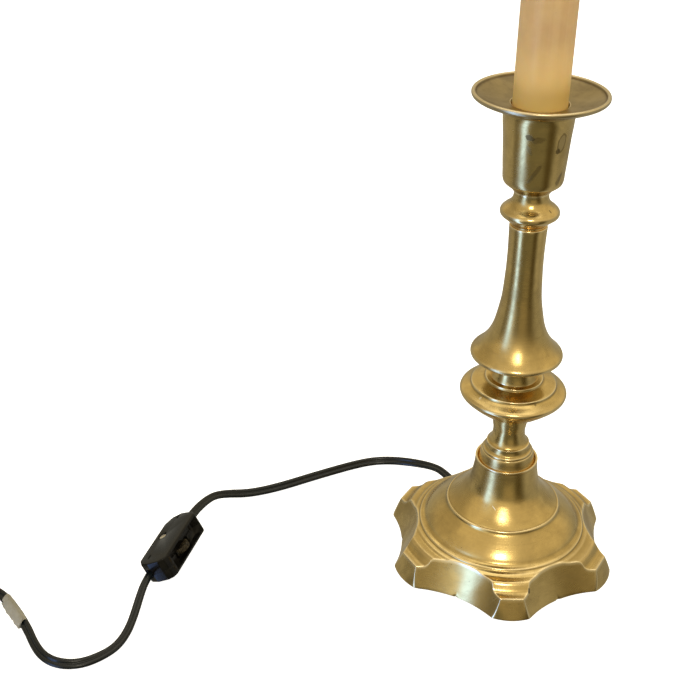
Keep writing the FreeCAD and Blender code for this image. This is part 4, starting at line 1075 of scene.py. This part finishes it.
def block(low, high, place=in_switch, turn=0.0):
    middle = [(low[i] + high[i]) / 2 for i in range(2)]
    half = [(high[i] - low[i]) / 2 for i in range(2)]
    c, s = math.cos(turn), math.sin(turn)
    corners = [(middle[0] + a * half[0] * c + b * half[1] * s,
                middle[1] - a * half[0] * s + b * half[1] * c)
               for a, b in ((-1, -1), (1, -1), (1, 1), (-1, 1))]
    return stack(corners, [(low[2], 0.0), (high[2], 0.0)], place)


def disc(x, y, radius, low, high, around=40):
    ring = [(x + radius * math.cos(2 * math.pi * k / around),
             y + radius * math.sin(2 * math.pi * k / around)) for k in range(around)]
    return stack(ring, [(low, 0.0), (high, 0.0)])


def bore_along(x, z, radius, low, high, around=36):
    verts = []
    for y in (low, high):
        verts += [in_switch(x + radius * math.cos(2 * math.pi * k / around), y,
                            z + radius * math.sin(2 * math.pi * k / around))
                  for k in range(around)]
    faces = grid_faces(2, around)
    faces.append(tuple(range(around - 1, -1, -1)))
    faces.append(tuple(around + k for k in range(around)))
    return verts, faces


def carve(thing, tools, joined=()):
    """Cut each tool out of the thing, and join the others on."""
    helpers = []
    for kind, parts in (("UNION", joined), ("DIFFERENCE", tools)):
        for verts, faces in parts:
            mesh = bpy.data.meshes.new("tool")
            mesh.from_pydata([tuple(c * MM for c in v) for v in verts], [], faces)
            work = bmesh.new()
            work.from_mesh(mesh)
            bmesh.ops.recalc_face_normals(work, faces=work.faces)
            work.to_mesh(mesh)
            work.free()
            helper = bpy.data.objects.new("tool", mesh)
            scene.collection.objects.link(helper)
            helpers.append(helper)
            change = thing.modifiers.new("shape", "BOOLEAN")
            change.operation, change.solver, change.object = kind, "EXACT", helper
    settled(thing)
    for helper in helpers:
        mesh = helper.data
        bpy.data.objects.remove(helper)
        bpy.data.meshes.remove(mesh)
    return thing


def eased(thing, width, angle=38.0, segments=2):
    """Small roundings on the sharp edges, and smooth shading between them."""
    change = thing.modifiers.new("edges", "BEVEL")
    change.width, change.segments = width * MM, segments
    change.limit_method, change.angle_limit = "ANGLE", math.radians(angle)
    change.use_clamp_overlap = True
    settled(thing)
    work = bmesh.new()
    work.from_mesh(thing.data)
    bmesh.ops.remove_doubles(work, verts=work.verts, dist=0.004 * MM)
    bmesh.ops.dissolve_degenerate(work, edges=work.edges, dist=0.002 * MM)
    bmesh.ops.triangulate(work, faces=[f for f in work.faces if len(f.verts) > 4])
    for edge in work.edges:
        edge.smooth = not (len(edge.link_faces) == 2
                           and edge.calc_face_angle(0.0) > math.radians(24.0))
    work.to_mesh(thing.data)
    work.free()
    thing.data.polygons.foreach_set("use_smooth", [True] * len(thing.data.polygons))
    thing.data.update()
    return thing


def moulded(name, points, rows, material, body, stands_for, tools=(), joined=(),
            ease_by=0.16):
    verts, faces = stack(points, rows)
    thing = solid(name, verts, faces, material, body, stands_for)
    carve(thing, tools, joined)
    return eased(thing, ease_by)


HOUSING = rounded([tuple(p) for p in drawn_in(SWITCH, -0.35)], 1.7)
OVER = [(-0.4, 0.12), (-0.28, 0.0), (2.5, 0.0), (5.6, 0.03), (5.95, 0.08), (6.2, 0.18),
        (6.38, 0.32), (6.49, 0.48), (6.55, 0.72)]
UNDER = [(-6.55, 1.1), (-6.48, 0.75), (-6.35, 0.5), (-6.1, 0.28), (-5.8, 0.13), (-5.35, 0.05),
         (-2.5, 0.0), (-0.52, 0.0), (-0.4, 0.12)]
ROOM = rounded(CAVITY, 1.5, 3)
SIDE = rounded(RECESS, 1.2, 3)
MOUTHS = [bore_along(-1.0, 0.0, 2.9, 21.3, 27.0), bore_along(-4.76, -0.2, 2.9, -27.0, -21.4)]
upper_shell = moulded(
    "switch_upper_moulded", HOUSING, OVER, SWITCH_BLACK, "lamp",
    ["switch_upper_shell"],
    tools=[stack(ROOM, [(-1.0, 0.0), (5.1, 0.0)]), stack(SIDE, [(-1.0, 0.0), (5.0, 0.0)]),
           disc(-4.6, 2.3, 2.5, 5.35, 8.0),
           block((-5.35, -0.9, 5.75), (-3.85, 5.5, 8.0), turn=math.radians(21.0)),
           block((-2.4, 17.6, 6.1), (-1.4, 21.0, 8.0)),
           block((-4.2, -18.4, 6.1), (-3.2, -15.0, 8.0))] + MOUTHS)
lower_shell = moulded(
    "switch_lower_moulded", HOUSING, UNDER, SWITCH_BLACK, "lamp",
    ["switch_lower_shell"],
    tools=[stack(ROOM, [(-5.1, 0.0), (0.5, 0.0)]), stack(SIDE, [(-5.0, 0.0), (0.5, 0.0)]),
           block((3.0, -6.6, -4.0), (5.9, 6.6, 0.5)), disc(2.9, 0.0, 6.75, -4.05, 0.5, 72)]
    + MOUTHS)
tabs = []
for side in (-1, 1):
    verts, faces = block((5.25, side * 7.1 - 0.5, -4.2), (6.3, side * 7.1 + 0.5, -0.5))
    tab = solid("switch_tab_%d" % (side + 1), verts, faces, SWITCH_BLACK, "lamp",
                smooth=False)
    tabs.append(eased(tab, 0.18))

wheel_at = (2.9, 0.0)
rim = []
for k in range(36):
    for part, radius in ((0.0, 5.72), (0.16, 5.78), (0.3, 6.08), (0.42, 6.19), (0.58, 6.19),
                         (0.7, 6.08), (0.84, 5.78)):
        angle = 2 * math.pi * (k + part) / 36
        rim.append((wheel_at[0] + radius * math.cos(angle),
                    wheel_at[1] + radius * math.sin(angle)))
hole = [(wheel_at[0] + 1.45 * math.cos(2 * math.pi * k / 252),
         wheel_at[1] + 1.45 * math.sin(2 * math.pi * k / 252)) for k in range(252)]
verts = []
for height, inset in ((-3.6, 0.35), (-3.5, 0.14), (-3.3, 0.0), (-2.1, 0.0), (-0.9, 0.0),
                      (-0.7, 0.14), (-0.6, 0.35)):
    verts += [in_switch(wheel_at[0] + (x - wheel_at[0]) * (1 - inset / 6.0),
                        wheel_at[1] + (y - wheel_at[1]) * (1 - inset / 6.0), height)
              for x, y in rim]
for height in (-0.6, -0.9):
    verts += [in_switch(wheel_at[0] + (x - wheel_at[0]) * 0.75,
                        wheel_at[1] + (y - wheel_at[1]) * 0.75, height) for x, y in rim]
for height in (-0.9, -3.6):
    verts += [in_switch(x, y, height) for x, y in hole]
wheel = solid("switch_wheel_moulded", verts, grid_faces(11, 252, wrap_rows=True), WHEEL_BLACK,
              "switch_wheel", ["switch_wheel"], sharp=40.0)

verts, ring = [], 40
for radius, height in ((1.2, -5.0), (1.2, 5.35), (2.05, 5.35), (2.1, 5.45), (2.1, 5.95),
                       (1.95, 6.18), (1.6, 6.36), (1.0, 6.46), (0.4, 6.5)):
    verts += [in_switch(-4.6 + radius * math.cos(2 * math.pi * k / ring),
                        2.3 + radius * math.sin(2 * math.pi * k / ring), height)
              for k in range(ring)]
faces = grid_faces(9, ring)
faces.append(tuple(range(ring - 1, -1, -1)))
faces.append(tuple(8 * ring + k for k in range(ring)))
screw = solid("switch_screw_turned", verts, faces, NICKEL, "lamp", ["switch_screw"])
carve(screw, [block((-4.6 - 3.0, 2.0, 5.95), (-4.6 + 3.0, 2.6, 8.0), turn=math.radians(-35.0))])
eased(screw, 0.06)

# ---- tag --------------------------------------------------------------------

tag_a, tag_b = Vector((-254.4, -76.2, 2.85)), Vector((-269.4, -56.6, 2.85))
tag_run = (tag_b - tag_a).normalized()
tag_side = Vector((-tag_run.y, tag_run.x, 0.0)) * -1.0
tag_mid = (tag_a + tag_b) / 2


def paper_strip(name, line, thick, half, lean=0.0, lift=0.0, seed=0.0, taper=0.0):
    """A folded strip of paper whose section is line, running along the cord."""
    flat, _ = soft_line(line, corner=75.0, least=0.12, most=0.6, spread=0.7, fine=0.02)
    run = np.gradient(flat, axis=0)
    run /= np.linalg.norm(run, axis=1)[:, None]
    normal = np.stack([-run[:, 1], run[:, 0]], 1)
    loop = np.vstack([flat + normal * thick / 2, (flat - normal * thick / 2)[::-1]])
    size, rows = len(loop), 45
    verts = []
    for i in range(rows):
        along = -half + 2 * half * i / (rows - 1)
        for k, (u, v) in enumerate(loop):
            spread_k = k if k < len(flat) else 2 * len(flat) - 1 - k
            ripple = (math.sin(along * 0.9 + spread_k * 0.35 + seed)
                      * math.sin(along * 0.37 + spread_k * 0.21 + seed * 2.0))
            fold = 1.0 + 0.07 * ripple - taper * abs(along / half) ** 3
            reach = along + lean * v + 0.16 * math.sin(spread_k * 0.11 + seed) * along / half
            p = (tag_mid + tag_run * reach + tag_side * (u * fold)
                 + Vector((0, 0, 1)) * (v * fold + lift))
            verts.append((p.x, p.y, max(p.z, 0.12 + 0.02 * (k < len(flat)))))
    faces = grid_faces(rows, size)
    half_size = len(flat)
    for base_row in (0, (rows - 1) * size):
        for k in range(half_size - 1):
            a, b = base_row + k, base_row + k + 1
            c, d = base_row + size - 2 - k, base_row + size - 1 - k
            faces.append((a, b, c, d))
    return solid(name, verts, faces, PAPER, "lamp", ["cord_tag"], sharp=50.0)


tag = paper_strip("cord_tag_folded", [
    (-3.5, -2.4), (-2.7, -0.7), (-1.8, 1.3), (-0.3, 2.75), (1.3, 2.6), (2.3, 0.9), (2.2, -1.0),
    (1.2, -2.0), (-0.9, -2.35), (-3.3, -2.5)], 0.2, 11.6, taper=0.10)
tag_layer = paper_strip("cord_tag_layer", [
    (-3.7, -2.2), (-3.2, -1.0), (-2.4, 0.9), (-1.4, 2.2), (-0.2, 3.05)], 0.22, 11.2,
    seed=1.7, taper=0.06)

# ---- tie --------------------------------------------------------------------


def tie_place(y, z, x):
    return Vector((COIL_AT[0] + x, y, z))


loop_out = rounded([(4.2, 0.25), (23.0, 0.25), (23.0, 16.3), (4.2, 16.3)], 5.0, 8)
loop_in = [tuple(p) for p in drawn_in(loop_out, 0.5)]
verts = []
for line, x in ((loop_out, -1.8), (loop_out, 1.8), (loop_in, 1.8), (loop_in, -1.8)):
    verts += [tie_place(y, z, x) for y, z in line]
tie = solid("cord_tie_band", verts, grid_faces(4, len(loop_out), wrap_rows=True), TIE_BLACK,
            "lamp", ["cord_tie"], sharp=40.0)
eased(tie, 0.1)
tail_line = spline_points("tie_tail_line", [
    (-337.0, 22.4, 9.0), (-336.6, 25.0, 9.4), (-334.5, 28.5, 8.6), (-331.0, 31.5, 6.4),
    (-329.5, 33.5, 5.2)])
verts, size = [], 12
for i, point in enumerate(tail_line):
    a, b = tail_line[max(i - 1, 0)], tail_line[min(i + 1, len(tail_line) - 1)]
    forward = (b - a).normalized()
    side = forward.cross(Vector((0, 0, 1))).normalized()
    top = side.cross(forward)
    turn = i * 0.35
    for k in range(size):
        angle = 2 * math.pi * k / size
        x, y = 1.1 * math.cos(angle), 0.45 * math.sin(angle)
        verts.append(point / MM + side * (x * math.cos(turn) - y * math.sin(turn))
                     + top * (x * math.sin(turn) + y * math.cos(turn)))
faces = grid_faces(len(tail_line), size)
faces.append(tuple(range(size - 1, -1, -1)))
faces.append(tuple((len(tail_line) - 1) * size + k for k in range(size)))
tie_tail = solid("cord_tie_tail", verts, faces, TIE_BLACK, "lamp")

# ---- plug -------------------------------------------------------------------

PLUG_AT, NOSE = Vector((-367.7, 22.9, 5.6)), Vector((0.35423, 0.93516, 0.0))
PLUG_X = Vector((NOSE.y, -NOSE.x, 0.0))
verts, size = [], 64
plug_rows = [0.0, 0.25]
plug_rows += [0.6 + 0.15 * k for k in range(58)] + [9.5, 10.5, 11.5, 12.5, 13.5, 14.5, 15.2,
                                                    16.0, 17.0, 18.0, 19.0, 20.0, 21.0, 22.0,
                                                    22.8, 23.3, 23.7, 23.92, 24.0]
for along in plug_rows:
    share = ease(along, 8.0, 15.5)
    wide = float(np.interp(along, [0, 9, 15, 24], [7.3, 11.4, 22.2, 24.6]))
    tall = float(np.interp(along, [0, 9, 15, 24], [6.1, 8.0, 10.5, 10.7]))
    groove = 0.0
    if 1.0 < along < 8.2:
        groove = 0.45 * (0.5 - 0.5 * math.cos(2 * math.pi * (along - 1.0) / 1.8))
    end = 0.9 * (1 - math.sqrt(max(0.0, 1 - max(0.0, (along - 23.1) / 0.9) ** 2)))
    end += 0.35 * max(0.0, 1 - along / 0.3)
    power = 2.0 / (2.3 + 2.4 * share)
    for k in range(size):
        angle = 2 * math.pi * k / size
        c, s = math.cos(angle), math.sin(angle)
        x = (wide / 2 - groove - end) * math.copysign(abs(c) ** power, c)
        y = (tall / 2 - groove - end) * math.copysign(abs(s) ** power, s)
        grip = 0.0
        if 15.5 < along < 21.5 and abs(c) > 0.8:
            grip = 0.35 * (0.5 - 0.5 * math.cos(2 * math.pi * (along - 15.5) / 2.0))
        verts.append(PLUG_AT + PLUG_X * (x - math.copysign(grip, c)) + NOSE * along
                     + Vector((0, 0, y)))
faces = grid_faces(len(plug_rows), size)
faces.append(tuple(range(size - 1, -1, -1)))
faces.append(tuple((len(plug_rows) - 1) * size + k for k in range(size)))
plug = solid("plug_body_moulded", verts, faces, PLUG_BLACK, "lamp", ["plug_body"],
             sharp=60.0)

# ---- stage and light ------------------------------------------------------


def floor_material():
    n = Nodes("floor_white")
    n.material.cycles.emission_sampling = "NONE"
    return n.set(color=(0.8, 0.8, 0.8), rough=0.9, specular=0.0, glow=(1.0, 1.0, 1.0),
                 glow_strength=0.95)


floor_mesh = bpy.data.meshes.new("floor")
floor_mesh.from_pydata([(-6, -4, 0), (6, -4, 0), (6, 8, 0), (-6, 8, 0)], [], [(0, 1, 2, 3)])
floor = bpy.data.objects.new("floor", floor_mesh)
floor.data.materials.append(floor_material())
floor.visible_glossy = False
scene.collection.objects.link(floor)


def area(name, at, aim, wide, tall, power, color=(1, 1, 1)):
    light = bpy.data.lights.new(name, "AREA")
    light.shape = "RECTANGLE"
    light.size, light.size_y = wide, tall
    light.energy, light.color = power, color
    thing = bpy.data.objects.new(name, light)
    thing.location = at
    thing.rotation_mode = "QUATERNION"
    thing.rotation_quaternion = (Vector(aim) - Vector(at)).to_track_quat("-Z", "Y")
    scene.collection.objects.link(thing)
    return thing


area("ceiling", (0.0, 0.4, 2.6), (0, 0, 0), 2.6, 2.6, 16.0, (1.0, 0.97, 0.90))
area("warm", (-0.07, -1.5, 1.55), (0, 0, 0.1), 0.42, 0.42, 8.0, (1.0, 0.92, 0.74))


def room():
    """The room the brass mirrors: tan below, cream above, a cool upright window."""
    world = bpy.data.worlds.new("room")
    world.use_nodes = True
    n = Nodes.__new__(Nodes)
    n.tree = world.node_tree
    n.tree.nodes.clear()
    out = n.add("ShaderNodeOutputWorld")
    glow = n.add("ShaderNodeBackground")
    n.link(glow.outputs[0], out.inputs[0])
    n.place = n.add("ShaderNodeTexCoord").outputs["Generated"]
    x, y, z = n.split(n.place)
    around = n.math("ARCTAN2", y, x)
    rise = n.math("ARCSINE", z)

    def band(value, middle, half, soft):
        off = n.math("ABSOLUTE", n.math("SUBTRACT", value, math.radians(middle)))
        return n.step(off, math.radians(half + soft), math.radians(half - soft))

    def both(a, b):
        return n.math("MULTIPLY", a, b)

    patches = n.noise(2.2, 3.0, 0.55)
    low = n.mix(n.step(patches, 0.3, 0.7), (0.44, 0.42, 0.345), (0.34, 0.325, 0.265))
    # Darker in front, where whoever looks on stands, darkest a little to the right.
    front = n.math("SUBTRACT", 1.0, n.step(n.math("ABSOLUTE", n.math(
        "SUBTRACT", around, math.radians(-80.0))), math.radians(34.0), math.radians(64.0)))
    low = n.mix(n.math("MULTIPLY", front, 0.93), low, (0.165, 0.155, 0.10))
    low = n.mix(n.math("MULTIPLY", band(around, -48.0, 12.0, 11.0), 0.9), low,
                (0.075, 0.055, 0.018))
    low = n.mix(n.math("MULTIPLY", band(around, -171.0, 10.0, 8.0), 0.85), low,
                (0.15, 0.135, 0.095))
    streak = both(band(around, -80.0, 17.0, 6.0), band(rise, -8.0, 13.0, 5.0))
    low = n.mix(n.math("MULTIPLY", streak, 0.8), low, (0.44, 0.37, 0.22))
    high = n.mix(n.step(patches, 0.35, 0.65), (0.80, 0.69, 0.46), (0.64, 0.55, 0.36))
    behind = band(around, 155.0, 22.0, 10.0)
    high = n.mix(n.math("MULTIPLY", behind, 0.85), high, (0.44, 0.375, 0.24))
    color = n.mix(n.step(rise, 0.0, 0.40), low, high)
    dark = both(band(around, -52.0, 12.0, 9.0), band(rise, 8.0, 14.0, 9.0))
    color = n.mix(n.math("MULTIPLY", dark, 0.5), color, (0.22, 0.18, 0.10))
    shoulder = both(band(around, -133.0, 12.0, 7.0), band(rise, 14.0, 24.0, 10.0))
    color = n.mix(n.math("MULTIPLY", shoulder, 0.8), color, (0.95, 0.95, 0.85))
    cool = both(band(around, -142.0, 7.5, 5.0), band(rise, -18.0, 44.0, 10.0))
    color = n.mix(n.math("MULTIPLY", cool, 0.95), color, (1.25, 2.05, 4.2))
    n.link(color, glow.inputs["Color"])
    glow.inputs["Strength"].default_value = 1.0
    return world


scene.world = room()

scene.view_settings.view_transform = "Standard"
scene.view_settings.look = "None"
scene.view_settings.exposure = 0.0
